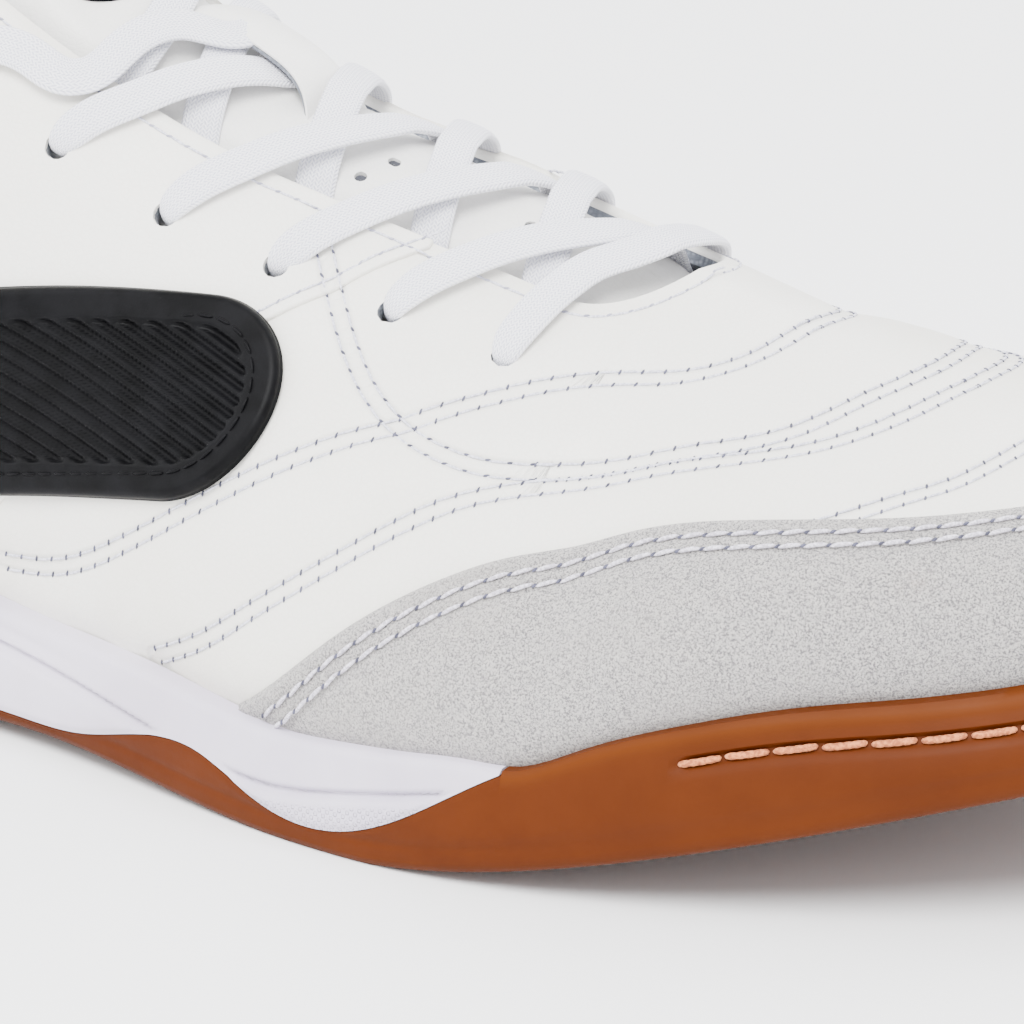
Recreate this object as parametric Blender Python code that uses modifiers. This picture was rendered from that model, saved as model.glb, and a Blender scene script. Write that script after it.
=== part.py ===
# Right indoor soccer shoe standing empty on its sole: +X to the toe, +Y to the inner side, +Z up.
# Sizes are in metres. The tables hold shares of the named sizes.

import math

import bmesh
import bpy
import numpy as np
from mathutils import Matrix, Vector

# Driving sizes of the sole
soleLength = 0.292
soleWidth = 0.1025
rimLevel = 0.030
seatLevel = 0.025
toeSpring = 0.0225
archRise = 0.0022
heelLift = 0.0030
sideLean = 0.0018
toeLean = 0.0026
lipWidth = 0.0030
skirtWidth = 0.0013
plateThickness = 0.0020
noseHeight = 0.0018
treadDepth = 0.0014
treadGroove = 0.0024
treadPitch = 0.0125
treadBorder = 0.0075
channelDepth = 0.0009
channelDrop = 0.0040
grooveDepth = 0.0006
edgeBevel = 0.0010

# Driving sizes of the upper
instepHeight = 0.100
collarHeight = 0.084
wallThickness = 0.0020
collarThickness = 0.0048
throatHalfWidth = 0.0158
throatRound = 0.0100
eyeletInset = 0.0112
eyeletDiameter = 0.0042
capThickness = 0.0013
patchThickness = 0.0016
tongueThickness = 0.0045
tongueOverlap = 0.0120
insoleThickness = 0.0040
laceWidth = 0.0050
laceThickness = 0.0015
laceClear = 0.0005
strandSetback = 0.0060
patchLength = 0.066
patchHeight = 0.026

# Clearance between pieces that touch, and under an overlay on the curved skin
gap = 0.0003
overlayGap = 0.0006
tongueSlack = 0.0012

# Places along the shoe, as shares of the sole's length from the heel
heelFlat = 0.07
archStart = 0.30
archEnd = 0.61
springStart = 0.645
throatEnd = 0.690
collarFront = 0.342
tongueTop = 0.300
tongueFoot = 0.735
topEyelet = 0.367
lowEyelet = 0.647
channelStart = 0.765
heelTread = (0.045, 0.285)
foreTread = (0.510, 0.930)
eyeletPairs = 6
patchMiddle = 0.446
capFoot = 0.02
laceSteps = 11

# Outline of the sole in plan: each side's distance from the middle line as a share of soleWidth
outlineTable = [
    # along, outer, inner
    (0.020, 0.151, 0.151),
    (0.060, 0.254, 0.254),
    (0.120, 0.322, 0.322),
    (0.200, 0.351, 0.351),
    (0.300, 0.361, 0.332),
    (0.380, 0.368, 0.298),
    (0.460, 0.398, 0.283),
    (0.540, 0.449, 0.312),
    (0.620, 0.493, 0.380),
    (0.700, 0.498, 0.454),
    (0.780, 0.459, 0.498),
    (0.850, 0.390, 0.493),
    (0.910, 0.298, 0.454),
    (0.955, 0.190, 0.385),
    (0.985, 0.059, 0.293),
]
toeTipShift = 0.117

# Heights of the sole's top edge and of the rubber's edge on its side, as shares of rimLevel
rimTable = [
    # along, rim, rubber edge
    (0.000, 1.08, 0.30),
    (0.050, 1.05, 0.23),
    (0.150, 0.95, 0.16),
    (0.300, 0.80, 0.15),
    (0.380, 0.71, 0.18),
    (0.445, 0.64, 0.19),
    (0.484, 0.59, 0.20),
    (0.528, 0.53, 0.28),
    (0.556, 0.49, 0.285),
    (0.593, 0.46, 0.165),
    (0.634, 0.465, 0.110),
    (0.668, 0.48, 0.215),
    (0.693, 0.49, 0.345),
    (0.720, 0.51, 0.51),
    (0.745, 0.61, 0.61),
    (0.785, 0.75, 0.75),
    (0.830, 0.86, 0.86),
    (0.873, 0.92, 0.92),
    (0.920, 0.99, 0.99),
    (1.000, 1.20, 1.20),
]

# Height of the seat inside the sole as a share of seatLevel
seatTable = [
    # along, seat
    (0.00, 1.00),
    (0.10, 0.93),
    (0.25, 0.80),
    (0.40, 0.60),
    (0.50, 0.45),
    (0.60, 0.36),
    (0.68, 0.36),
    (0.75, 0.46),
    (0.84, 0.66),
    (0.92, 0.86),
    (1.00, 1.10),
]

# Crest of the last: its height as a share of instepHeight, its side shift as one of soleWidth
crestTable = [
    # along, height, shift
    (0.00, 1.55, 0.000),
    (0.10, 1.58, 0.000),
    (0.20, 1.50, 0.005),
    (0.28, 1.28, 0.015),
    (0.34, 1.06, 0.022),
    (0.38, 0.965, 0.028),
    (0.43, 0.878, 0.032),
    (0.48, 0.808, 0.036),
    (0.54, 0.748, 0.042),
    (0.60, 0.703, 0.048),
    (0.66, 0.652, 0.055),
    (0.72, 0.597, 0.062),
    (0.78, 0.556, 0.070),
    (0.84, 0.522, 0.080),
    (0.92, 0.500, 0.090),
    (1.00, 0.475, 0.098),
]

# Fullness of the sides, as shares of soleWidth: how far the wall swells out and up from the
# sole, and how far the top spreads out and drops from the crest
sideTable = [
    # along, outer out, up, spread, drop, inner out, up, spread, drop
    (0.00, 0.05, 0.24, 0.22, 0.12, 0.05, 0.24, 0.22, 0.12),
    (0.10, 0.05, 0.24, 0.29, 0.12, 0.05, 0.24, 0.29, 0.12),
    (0.20, 0.04, 0.22, 0.31, 0.10, 0.04, 0.22, 0.31, 0.10),
    (0.30, 0.04, 0.20, 0.31, 0.06, 0.05, 0.22, 0.31, 0.06),
    (0.43, 0.04, 0.20, 0.26, 0.02, 0.06, 0.24, 0.26, 0.02),
    (0.54, 0.05, 0.17, 0.23, 0.02, 0.07, 0.22, 0.24, 0.02),
    (0.66, 0.06, 0.14, 0.21, 0.02, 0.06, 0.18, 0.22, 0.02),
    (0.78, 0.06, 0.14, 0.25, 0.00, 0.05, 0.16, 0.24, 0.00),
    (0.90, 0.05, 0.13, 0.24, 0.00, 0.05, 0.14, 0.23, 0.00),
    (1.00, 0.03, 0.08, 0.15, 0.00, 0.03, 0.08, 0.15, 0.00),
]

# Top line of the collar as a share of collarHeight
collarTable = [
    # along, height
    (0.000, 1.00),
    (0.050, 0.97),
    (0.110, 0.86),
    (0.170, 0.74),
    (0.230, 0.70),
    (0.280, 0.75),
    (0.315, 0.88),
    (0.342, 1.03),
    (0.385, 1.40),
]

# Throat's half width, over the skin, as a share of throatHalfWidth
throatTable = [
    # along, half width
    (0.32, 1.30),
    (0.45, 1.17),
    (0.53, 1.09),
    (0.60, 1.02),
    (0.69, 0.95),
]

# Top edge of the suede round the toe, as a share of the rib from the sole to the crest
capTable = [
    # along, outer, inner
    (0.578, 0.035, 0.035),
    (0.620, 0.195, 0.170),
    (0.660, 0.315, 0.290),
    (0.700, 0.400, 0.375),
    (0.740, 0.455, 0.430),
    (0.800, 0.490, 0.480),
    (0.850, 0.530, 0.530),
    (0.900, 0.620, 0.620),
    (0.950, 0.730, 0.730),
    (1.000, 0.840, 0.840),
]

# Ribbed ovals on the sides: height of the middle above the sole's rim, and rise towards the
# toe over the sole's length, as shares of collarHeight
patchTable = [
    # node, side, middle, rise
    ("side_patch_outer", 1, 0.300, 1.10),
    ("side_patch_inner", -1, 0.250, 0.55),
]

colours = {
    # node: base colour, roughness
    "outsole": ((0.42, 0.12, 0.03), 0.55),
    "midsole": ((0.76, 0.74, 0.80), 0.50),
    "insole": ((0.30, 0.32, 0.36), 0.90),
    "upper": ((0.82, 0.82, 0.80), 0.40),
    "tongue": ((0.82, 0.82, 0.81), 0.45),
    "toe_cap": ((0.62, 0.62, 0.60), 0.95),
    "side_patch": ((0.02, 0.02, 0.025), 0.40),
    "lace": ((0.84, 0.84, 0.90), 0.85),
}


def splineThrough(knots, values, period=None):
    """A smooth curve through the rows, natural at its ends or closed after one period."""
    x = np.array(knots, float)
    y = np.array(values, float).reshape(len(x), -1)
    if period:
        x = np.append(x, x[0] + period)
        y = np.vstack([y, y[0]])
    h = np.diff(x)
    n = len(x)
    matrix = np.zeros((n, n))
    right = np.zeros_like(y)
    slope = np.diff(y, axis=0) / h[:, None]
    for i in range(1, n - 1):
        matrix[i, i - 1 : i + 2] = h[i - 1], 2 * (h[i - 1] + h[i]), h[i]
        right[i] = 6 * (slope[i] - slope[i - 1])
    matrix[0, 0] = 1
    if period:
        matrix[0, -1] = -1
        matrix[-1, [0, 1, -2, -1]] = 2 * h[0], h[0], h[-1], 2 * h[-1]
        right[-1] = 6 * (slope[0] - slope[-1])
    else:
        matrix[-1, -1] = 1
    bend = np.linalg.solve(matrix, right)

    def at(t):
        t = np.asarray(t, float)
        if period:
            t = x[0] + np.mod(t - x[0], period)
        t = np.clip(t, x[0], x[-1])
        i = np.clip(np.searchsorted(x, t, side="right") - 1, 0, n - 2)
        u = (t - x[i])[..., None]
        w = h[i][..., None]
        v = w - u
        value = (bend[i] * v**3 + bend[i + 1] * u**3) / (6 * w)
        value = value + (y[i] / w - bend[i] * w / 6) * v + (y[i + 1] / w - bend[i + 1] * w / 6) * u
        return value[..., 0] if value.shape[-1] == 1 else value

    return at


def turnOf(along):
    """The place round the outline, from 0 at the heel to 1 at the toe, of a share of the length."""
    return np.arccos(1 - 2 * np.asarray(along, float)) / math.pi


def alongOf(place):
    return (1 - np.cos(math.pi * np.asarray(place, float))) / 2


def roundTheShoe(table, outer, inner, heel=None, toe=None):
    """A closed curve of table values round the shoe: outer side at 0 to 1, inner at 0 to -1."""
    heel = heel or [table[0][c] for c in outer]
    toe = toe or [table[-1][c] for c in outer]
    rows = [row for row in table if 0 < row[0] < 1]
    knots = [-turnOf(row[0]) for row in reversed(rows)] + [0.0]
    knots += [turnOf(row[0]) for row in rows] + [1.0]
    values = [[row[c] for c in inner] for row in reversed(rows)] + [heel]
    values += [[row[c] for c in outer] for row in rows] + [toe]
    return splineThrough(knots, values, period=2.0)


signedOutline = [(along, -outer, inner) for along, outer, inner in outlineTable]
outlineAt = roundTheShoe(signedOutline, [1], [2], [0.0], [toeTipShift])
rimAt = roundTheShoe(rimTable, [1, 2], [1, 2])
seatAt = roundTheShoe(seatTable, [1], [1])
crestAt = roundTheShoe(crestTable, [1, 2], [1, 2])
sideAt = roundTheShoe(sideTable, [1, 2, 3, 4], [5, 6, 7, 8])
collarAt = splineThrough([row[0] for row in collarTable], [row[1] for row in collarTable])
throatAt = splineThrough([row[0] for row in throatTable], [row[1] for row in throatTable])
capOuterAt = splineThrough([row[0] for row in capTable], [row[1] for row in capTable])
capInnerAt = splineThrough([row[0] for row in capTable], [row[2] for row in capTable])

allRound = outlineAt(np.linspace(-1, 1, 721))
outlineScale = 1 / (allRound.max() - allRound.min())
outlineMiddle = (allRound.max() + allRound.min()) / 2


def outlinePoint(place, inset=0.0):
    """A point of the sole's outline in plan, moved in by inset, and the way out there."""
    place = np.asarray(place, float)

    def edge(p):
        x = (alongOf(p) - 0.5) * soleLength
        y = (outlineAt(p) - outlineMiddle) * outlineScale * soleWidth
        return np.stack([x, y], -1)

    step = 1e-4
    tangent = edge(place + step) - edge(place - step)
    tangent /= np.linalg.norm(tangent, axis=-1, keepdims=True)
    out = np.stack([tangent[..., 1], -tangent[..., 0]], -1)
    return edge(place) - out * np.asarray(inset)[..., None], out


def ground(along):
    """The underside: flat under heel and forefoot, raised at the arch, the toe and the heel's edge."""
    along = np.asarray(along, float)
    toe = np.clip((along - springStart) / (1 - springStart), 0, 1)
    toe = (1.55 * toe**1.55 - 0.55 * toe**3) * toeSpring
    heel = np.clip((heelFlat - along) / heelFlat, 0, 1) ** 2 * heelLift
    arch = np.clip((along - archStart) / (archEnd - archStart), 0, 1)
    return toe + heel + np.sin(math.pi * arch) ** 2 * archRise


def rimHeight(place):
    return rimAt(place)[..., 0] * rimLevel


def rubberHeight(place):
    return np.minimum(rimAt(place)[..., 1] * rimLevel, rimHeight(place))


def seatHeight(place):
    return seatAt(place) * seatLevel


def leanAt(place):
    toe = np.clip((alongOf(place) - 0.70) / 0.30, 0, 1)
    return sideLean + toeLean * np.sin(toe * math.pi / 2)


def sideInset(place, height):
    """How far in the sole's side lies at a height: upright low down, leaning in towards the top."""
    base = ground(alongOf(place))
    share = np.clip((height - base) / (rimHeight(place) - base), 0, 1)
    return leanAt(place) * np.clip((share - 0.35) / 0.65, 0, 1) ** 1.4


def cupInset(place):
    return leanAt(place) + lipWidth


def crestAlong(along):
    """Ribs stand upright along the middle and fan out round the heel and the toe."""
    along = np.asarray(along, float)
    toe = np.clip((along - 0.84) / 0.16, 0, 1)
    heel = np.clip((0.20 - along) / 0.20, 0, 1)
    return along - 0.16 * 0.469 * toe**2 + 0.20 * 0.5 * heel**2


def rib(place, t):
    """A point of the upper's outer surface: t runs from 0 at the sole's rim to 1 at the crest."""
    place = np.asarray(place, float)
    foot, out = outlinePoint(place, cupInset(place) + gap)
    height, shift = np.moveaxis(crestAt(place), -1, 0)
    swellOut, swellUp, spread, drop = np.moveaxis(sideAt(place) * soleWidth, -1, 0)
    low = np.concatenate([foot, (rimHeight(place) + 2 * gap)[..., None]], -1)
    crest = np.stack(
        [
            (crestAlong(alongOf(place)) - 0.5) * soleLength,
            (shift - outlineMiddle * outlineScale) * soleWidth,
            height * instepHeight,
        ],
        -1,
    )
    away = (low - crest)[..., :2]
    away /= np.linalg.norm(away, axis=-1, keepdims=True)
    side = low + np.concatenate([out * swellOut[..., None], swellUp[..., None]], -1)
    top = crest + np.concatenate([away * spread[..., None], -drop[..., None]], -1)
    t = np.asarray(t, float)[..., None]
    s = 1 - t
    return s**3 * low + 3 * s**2 * t * side + 3 * s * t**2 * top + t**3 * crest


def skin(place, t, lift=0.0):
    """The upper's outer surface, moved out by lift along its normal."""
    place = np.asarray(place, float)
    t = np.asarray(t, float)
    point = rib(place, t)
    step = 1e-3
    alongSkin = rib(place + step, t) - rib(place - step, t)
    upSkin = rib(place, t + step) - rib(place, t - step)
    normal = np.cross(alongSkin, upSkin)
    normal /= np.maximum(np.linalg.norm(normal, axis=-1, keepdims=True), 1e-12)
    return point + normal * np.asarray(lift)[..., None]


def throatWidth(along):
    """Half width of the throat over the skin, closed by a round end."""
    along = np.asarray(along, float)
    roundStart = throatEnd - throatRound / soleLength
    turn = np.clip((along - roundStart) / (throatEnd - roundStart), 0, 1)
    return throatAt(along) * throatHalfWidth * np.sqrt(1 - turn**2)


def shareFromCrest(place, run):
    """The share of a rib that lies a set run over the skin below its crest."""
    share = np.linspace(1, 0, 241)
    points = rib(np.full_like(share, place), share)
    runs = np.append(0, np.cumsum(np.linalg.norm(np.diff(points, axis=0), axis=1)))
    return float(np.interp(run, runs, share))


def ribEnd(place):
    """Where a rib stops: at the collar's top line, the throat's edge or the crest."""
    along = float(alongOf(place))
    end = 1.0
    if along < throatEnd:
        end = shareFromCrest(place, throatWidth(along))
    if along < collarTable[-1][0]:
        share = np.linspace(0, 1, 241)
        heights = rib(np.full_like(share, place), share)[:, 2]
        end = min(end, float(np.interp(collarAt(along) * collarHeight, heights, share)))
    return end


def collarShare(along):
    """1 round the collar, 0 along the throat."""
    return 1 - np.clip((np.asarray(along, float) - collarFront) / 0.05, 0, 1)


def makeMaterial(key):
    material = bpy.data.materials.get(key)
    if material:
        return material
    colour, roughness = colours[key]
    material = bpy.data.materials.new(key)
    material.use_nodes = True
    shader = material.node_tree.nodes["Principled BSDF"]
    shader.inputs["Base Color"].default_value = (*colour, 1)
    shader.inputs["Roughness"].default_value = roughness
    shader.inputs["Metallic"].default_value = 0.0
    return material


def addObject(name, mesh, key=None):
    """Links a mesh as a part with its material, or as a hidden cutter when it has none."""
    thing = bpy.data.objects.new(name, mesh)
    if key:
        mesh.materials.append(makeMaterial(key))
        shoe.objects.link(thing)
        thing.parent = root
        mesh.shade_smooth()
        mesh.set_sharp_from_angle(angle=math.radians(40))
    else:
        cutters.objects.link(thing)
        thing.hide_render = True
        thing.display_type = "WIRE"
    return thing


def quad(form, a, b, c, d):
    """Two triangles; the shared edge starts at the rearward corner that lies further out."""
    if abs(a.co.y) + abs(c.co.y) > abs(b.co.y) + abs(d.co.y):
        corners = ((a, b, c), (a, c, d))
    else:
        corners = ((a, b, d), (b, c, d))
    for corner in corners:
        form.faces.new(corner)


def gridMesh(name, points, closedRows=False, closedColumns=False, fillEnd=False):
    """A mesh over a grid of points: rows follow one another, columns run across."""
    form = bmesh.new()
    grid = [[form.verts.new(point) for point in row] for row in points]
    rowPairs = list(zip(grid[:-1], grid[1:]))
    if closedRows:
        rowPairs.append((grid[-1], grid[0]))
    for back, front in rowPairs:
        count = len(back) if closedColumns else len(back) - 1
        for j in range(count):
            k = (j + 1) % len(back)
            quad(form, back[j], front[j], front[k], back[k])
    bmesh.ops.remove_doubles(form, verts=form.verts, dist=2e-5)
    bmesh.ops.dissolve_degenerate(form, edges=form.edges, dist=1e-6)
    if fillEnd:
        openEdges = [edge for edge in form.edges if edge.is_boundary]
        bmesh.ops.triangle_fill(form, edges=openEdges, use_beauty=True)
    if closedColumns:
        bmesh.ops.recalc_face_normals(form, faces=form.faces)
        if form.calc_volume(signed=True) < 0:
            bmesh.ops.reverse_faces(form, faces=form.faces)
    mesh = bpy.data.meshes.new(name)
    form.to_mesh(mesh)
    form.free()
    return mesh


def addModifier(thing, kind, **settings):
    modifier = thing.modifiers.new(kind.title(), kind)
    for key, value in settings.items():
        setattr(modifier, key, value)
    return modifier


def soleStations(start, end, count, extra=()):
    """Stations from start to end, even round the outline, closer at the heel and the toe."""
    even = np.linspace(turnOf(start), turnOf(end), count)
    return np.sort(np.append(even, [turnOf(a) for a in extra]))


def crossRow(left, right, shares):
    """Points across the shoe between two side points."""
    shares = np.asarray(shares)[:, None]
    return list(left + (right - left) * shares)


def sidePoint(place, inset, height):
    plan, _ = outlinePoint(place, inset)
    return np.array([plan[0], plan[1], float(height)])


def noseAlong():
    """Where the midsole's side has thinned to noseHeight under the rubber's rise."""
    along = np.linspace(0.65, 0.74, 181)
    left = rimHeight(turnOf(along)) - rubberHeight(turnOf(along))
    return float(np.interp(-noseHeight, -left, along))


def wallPoints(place, top, levels, groove=None):
    """The outer wall from its top down, with an optional groove a set drop below the top."""
    base = float(ground(alongOf(place))) + edgeBevel
    points = []
    for level in levels:
        height = base + (top - base) * level
        points.append(sidePoint(place, sideInset(place, height), height))
    if groove:
        drop, depth = groove
        for k, (step, deep) in enumerate(((-1, 0), (0, 1), (1, 0))):
            height = top - drop + step * -depth
            points[1 + k] = sidePoint(place, sideInset(place, height) + deep * depth, height)
    return points


def outsoleLoop(turn, hasCup):
    """One section of the rubber: a lip and seat where it is a cup, a plain top behind."""
    halves = []
    along = float(alongOf(turn))
    deep = channelDepth * float(np.clip((along - channelStart) / 0.01, 0.02, 1))
    for place in (-turn, turn):
        seat = float(seatHeight(place))
        cup = float(cupInset(place))
        if hasCup:
            top = float(rimHeight(place))
            floor, lip = seat, cup
        else:
            top = float(rubberHeight(place))
            floor = min(top, seat - plateThickness - gap)
            lip = cup - skirtWidth - gap
        levels = (1.0, 0.85, 0.72, 0.60, 0.30, 0.0)
        drop = channelDrop if hasCup else 0.35 * (top - float(ground(along)))
        outer = wallPoints(place, top, levels, (drop, deep if hasCup else 2e-5))
        outer.append(sidePoint(place, edgeBevel, ground(along)))
        inner = [sidePoint(place, lip, top), sidePoint(place, lip, floor)]
        halves.append((outer, inner))
    (outerM, innerM), (outerL, innerL) = halves
    loop = outerM + crossRow(outerM[-1], outerL[-1], (0.25, 0.5, 0.75)) + outerL[::-1]
    loop += innerL + crossRow(innerL[-1], innerM[-1], (0.25, 0.5, 0.75)) + innerM[::-1]
    return np.array(loop)


def midsoleLoop(turn):
    """One section of the midsole: its side wall above the rubber, and the plate inside."""
    halves = []
    for place in (-turn, turn):
        rubber = float(rubberHeight(place))
        top = float(rimHeight(place))
        seat = float(seatHeight(place))
        cup = float(cupInset(place))
        floor = min(rubber, seat - plateThickness - gap)
        low = rubber + gap
        heights = [top, top - 0.28 * (top - low), top - 0.36 * (top - low)]
        heights += [top - 0.44 * (top - low), top - 0.75 * (top - low), low]
        outer = []
        for k, height in enumerate(heights):
            deep = grooveDepth if k == 2 else 0
            outer.append(sidePoint(place, sideInset(place, height) + deep, height))
        outer.append(sidePoint(place, cup - skirtWidth, low))
        outer.append(sidePoint(place, cup - skirtWidth, floor + gap))
        inner = [sidePoint(place, cup, top), sidePoint(place, cup, seat)]
        halves.append((outer, inner))
    (outerM, innerM), (outerL, innerL) = halves
    loop = outerM + crossRow(outerM[-1], outerL[-1], (0.25, 0.5, 0.75)) + outerL[::-1]
    loop += innerL + crossRow(innerL[-1], innerM[-1], (0.25, 0.5, 0.75)) + innerM[::-1]
    return np.array(loop)


def buildSole():
    nose = noseAlong()
    step = 0.0001 / soleLength
    behind = soleStations(0, nose, 25, (heelFlat, archStart, archEnd, springStart))
    ahead = soleStations(nose + step, 1, 14)
    loops = [outsoleLoop(turn, False) for turn in behind]
    loops += [outsoleLoop(turn, True) for turn in ahead]
    outsole = addObject("outsole", gridMesh("outsole", loops, closedColumns=True), "outsole")

    behind[-1] = turnOf(nose - gap / soleLength)
    loops = [midsoleLoop(turn) for turn in behind]
    mesh = gridMesh("midsole", loops, closedColumns=True, fillEnd=True)
    addObject("midsole", mesh, "midsole")

    form = bmesh.new()
    for start, end in (heelTread, foreTread):
        count = int((end - start) * soleLength / treadPitch)
        for i in range(count + 1):
            along = start + (end - start) * i / count
            addTreadBar(form, along)
    mesh = bpy.data.meshes.new("tread_cutter")
    form.to_mesh(mesh)
    form.free()
    addModifier(outsole, "BOOLEAN", object=addObject("tread_cutter", mesh), operation="DIFFERENCE")


def addTreadBar(form, along):
    """A bar that cuts one channel across the underside, square to the ground line there."""
    turn = turnOf(along)
    outer = outlinePoint(turn, treadBorder)[0]
    inner = outlinePoint(-turn, treadBorder)[0]
    reach = 0.002
    slope = float(ground(along + reach) - ground(along - reach)) / (2 * reach * soleLength)
    centre = Vector((*((outer + inner) / 2), float(ground(along))))
    turned = Matrix.Rotation(-math.atan(slope), 4, "Y")
    size = Matrix.Diagonal((treadGroove, abs(inner[1] - outer[1]), 2 * treadDepth, 1))
    bmesh.ops.create_cube(form, size=1, matrix=Matrix.Translation(centre) @ turned @ size)


def buildInsole():
    """A flat sock liner on the seat, inside the upper's wall."""
    loops = []
    for turn in soleStations(0, 1, 29):
        halves = []
        for place in (-turn, turn):
            seat = float(seatHeight(place)) + gap
            inset = float(cupInset(place)) + wallThickness + 3 * gap
            low = sidePoint(place, inset, seat)
            high = sidePoint(place, inset, seat + insoleThickness)
            halves.append((low, high))
        (lowM, highM), (lowL, highL) = halves
        loop = [lowM] + crossRow(lowM, lowL, (0.33, 0.67)) + [lowL, highL]
        loops.append(loop + crossRow(highL, highM, (0.33, 0.67)) + [highM])
    addObject("insole", gridMesh("insole", loops, closedColumns=True), "insole")


def upperPlaces(count=34):
    """Places round the shoe, with more of them where the throat's end turns."""
    even = np.linspace(0, 1, count)
    roundStart = throatEnd - throatRound / soleLength
    turns = roundStart + (throatEnd - roundStart) * np.sin(np.linspace(0, math.pi / 2, 5))
    extra = turnOf(turns)
    even = [p for p in even if p < extra[0] - 0.006 or p > extra[-1] + 0.006]
    half = np.sort(np.concatenate([even, extra]))
    return np.concatenate([half, -half[-2:0:-1]])


def ribShares():
    """Rows up a rib, from the sole's rim to the rib's end."""
    return np.linspace(0, 1, 10)


def buildUpper():
    rows = []
    for place in upperPlaces():
        shares = ribShares() * ribEnd(place)
        wall = skin(np.full_like(shares, place), shares)
        foot = wall[0].copy()
        foot[2] = float(seatHeight(place)) + gap
        rows.append(np.vstack([foot, wall]))
    mesh = gridMesh("upper", rows, closedRows=True)
    upper = addObject("upper", mesh, "upper")

    padded = upper.vertex_groups.new(name="padded")
    for vertex in mesh.vertices:
        along = vertex.co.x / soleLength + 0.5
        below = collarAt(along) * collarHeight - vertex.co.z
        weight = float(np.clip(1 - (below - 0.008) / 0.018, 0, 1) * collarShare(along))
        padded.add([vertex.index], weight, "REPLACE")
    addModifier(
        upper,
        "SOLIDIFY",
        thickness=collarThickness,
        offset=-1,
        use_even_offset=True,
        vertex_group="padded",
        thickness_vertex_group=wallThickness / collarThickness,
    )

    form = bmesh.new()
    for centre, normal in eyelets():
        turned = normal.to_track_quat("Z", "Y").to_matrix().to_4x4()
        bmesh.ops.create_cone(
            form,
            cap_ends=True,
            segments=10,
            radius1=eyeletDiameter / 2,
            radius2=eyeletDiameter / 2,
            depth=4 * wallThickness,
            matrix=Matrix.Translation(centre) @ turned,
        )
    mesh = bpy.data.meshes.new("eyelet_cutter")
    form.to_mesh(mesh)
    form.free()
    addModifier(upper, "BOOLEAN", object=addObject("eyelet_cutter", mesh), operation="DIFFERENCE")


def eyelets():
    """Centre and normal of each eyelet, outer side first, from the toe end up."""
    found = []
    for along in np.linspace(lowEyelet, topEyelet, eyeletPairs):
        for side in (1, -1):
            place = side * float(turnOf(along))
            t = shareFromCrest(place, throatWidth(along) + eyeletInset)
            inside, outside = skin(np.array([place] * 2), np.array([t] * 2), np.array([0, 0.001]))
            found.append((Vector(inside), Vector(outside - inside).normalized()))
    return found


def tongueRow(along, shares):
    """Rib shares across the tongue, from its outer edge over the crest to its inner edge."""
    place = float(turnOf(along))
    narrow = 1 - 0.25 * np.clip((along - throatEnd) / (tongueFoot - throatEnd), 0, 1)
    reach = (throatAt(along) * throatHalfWidth + tongueOverlap) * narrow
    row = []
    for share in shares:
        side = place if share < 0 else -place
        row.append((side, shareFromCrest(side, abs(share) * reach)))
    return row


def buildTongue():
    """A padded tongue under the throat, from below the vamp up past the top eyelets."""
    shares = np.linspace(-1, 1, 11)
    outside = []
    inside = []
    for along in np.linspace(tongueTop, tongueFoot, 17):
        row = tongueRow(along, shares)
        sides = np.array([side for side, _ in row])
        ts = np.array([t for _, t in row])
        above = float(collarShare(along))
        wall = wallThickness + (collarThickness - wallThickness) * above
        pad = np.clip((throatEnd - along) / 0.05, 0, 1)
        thick = tongueThickness * (0.35 + 0.65 * pad * (1 - np.abs(shares) ** 3))
        ahead = float(np.clip((along - throatEnd) / 0.04 + 1, 0, 1))
        under = wall + overlayGap + tongueSlack * (above + ahead)
        outside.append(skin(sides, ts, -under * np.ones_like(ts)))
        inside.append(skin(sides, ts, -under - thick))
    addObject("tongue", slabMesh("tongue", np.array(outside), np.array(inside)), "tongue")


def slabMesh(name, outside, inside):
    """A closed sheet between two grids of points that match."""
    loops = [np.vstack([top, low[::-1]]) for top, low in zip(outside, inside)]
    form = bmesh.new()
    grid = [[form.verts.new(point) for point in loop] for loop in loops]
    for back, front in zip(grid[:-1], grid[1:]):
        for j in range(len(back)):
            k = (j + 1) % len(back)
            quad(form, back[j], front[j], front[k], back[k])
    for loop in (grid[0], grid[-1]):
        half = len(loop) // 2
        for j in range(half - 1):
            quad(form, loop[j], loop[j + 1], loop[-2 - j], loop[-1 - j])
    bmesh.ops.remove_doubles(form, verts=form.verts, dist=2e-5)
    bmesh.ops.recalc_face_normals(form, faces=form.faces)
    if form.calc_volume(signed=True) < 0:
        bmesh.ops.reverse_faces(form, faces=form.faces)
    mesh = bpy.data.meshes.new(name)
    form.to_mesh(mesh)
    form.free()
    return mesh


def buildToeCap():
    """The suede round the toe: the upper's own skin moved out, down to the sole's rim."""
    half = [p for p in upperPlaces() if p >= 0]
    first = turnOf(capTable[0][0])
    half = [first] + [p for p in half if p > first + 0.004]
    places = half + [-p for p in half[-2::-1]]
    outside = []
    inside = []
    for place in places:
        along = float(alongOf(place))
        top = float(capOuterAt(along) if place > 0 else capInnerAt(along))
        shares = ribShares() * ribEnd(place)
        shares = np.append(shares[shares < top - 0.01], [top] * int((shares >= top - 0.01).sum()))
        shares = np.maximum(shares, capFoot)
        sides = np.full_like(shares, place)
        outside.append(skin(sides, shares, overlayGap + capThickness))
        inside.append(skin(sides, shares, overlayGap))
    mesh = slabMesh("toe_cap", np.array(outside), np.array(inside))
    addObject("toe_cap", mesh, "toe_cap")


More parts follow.
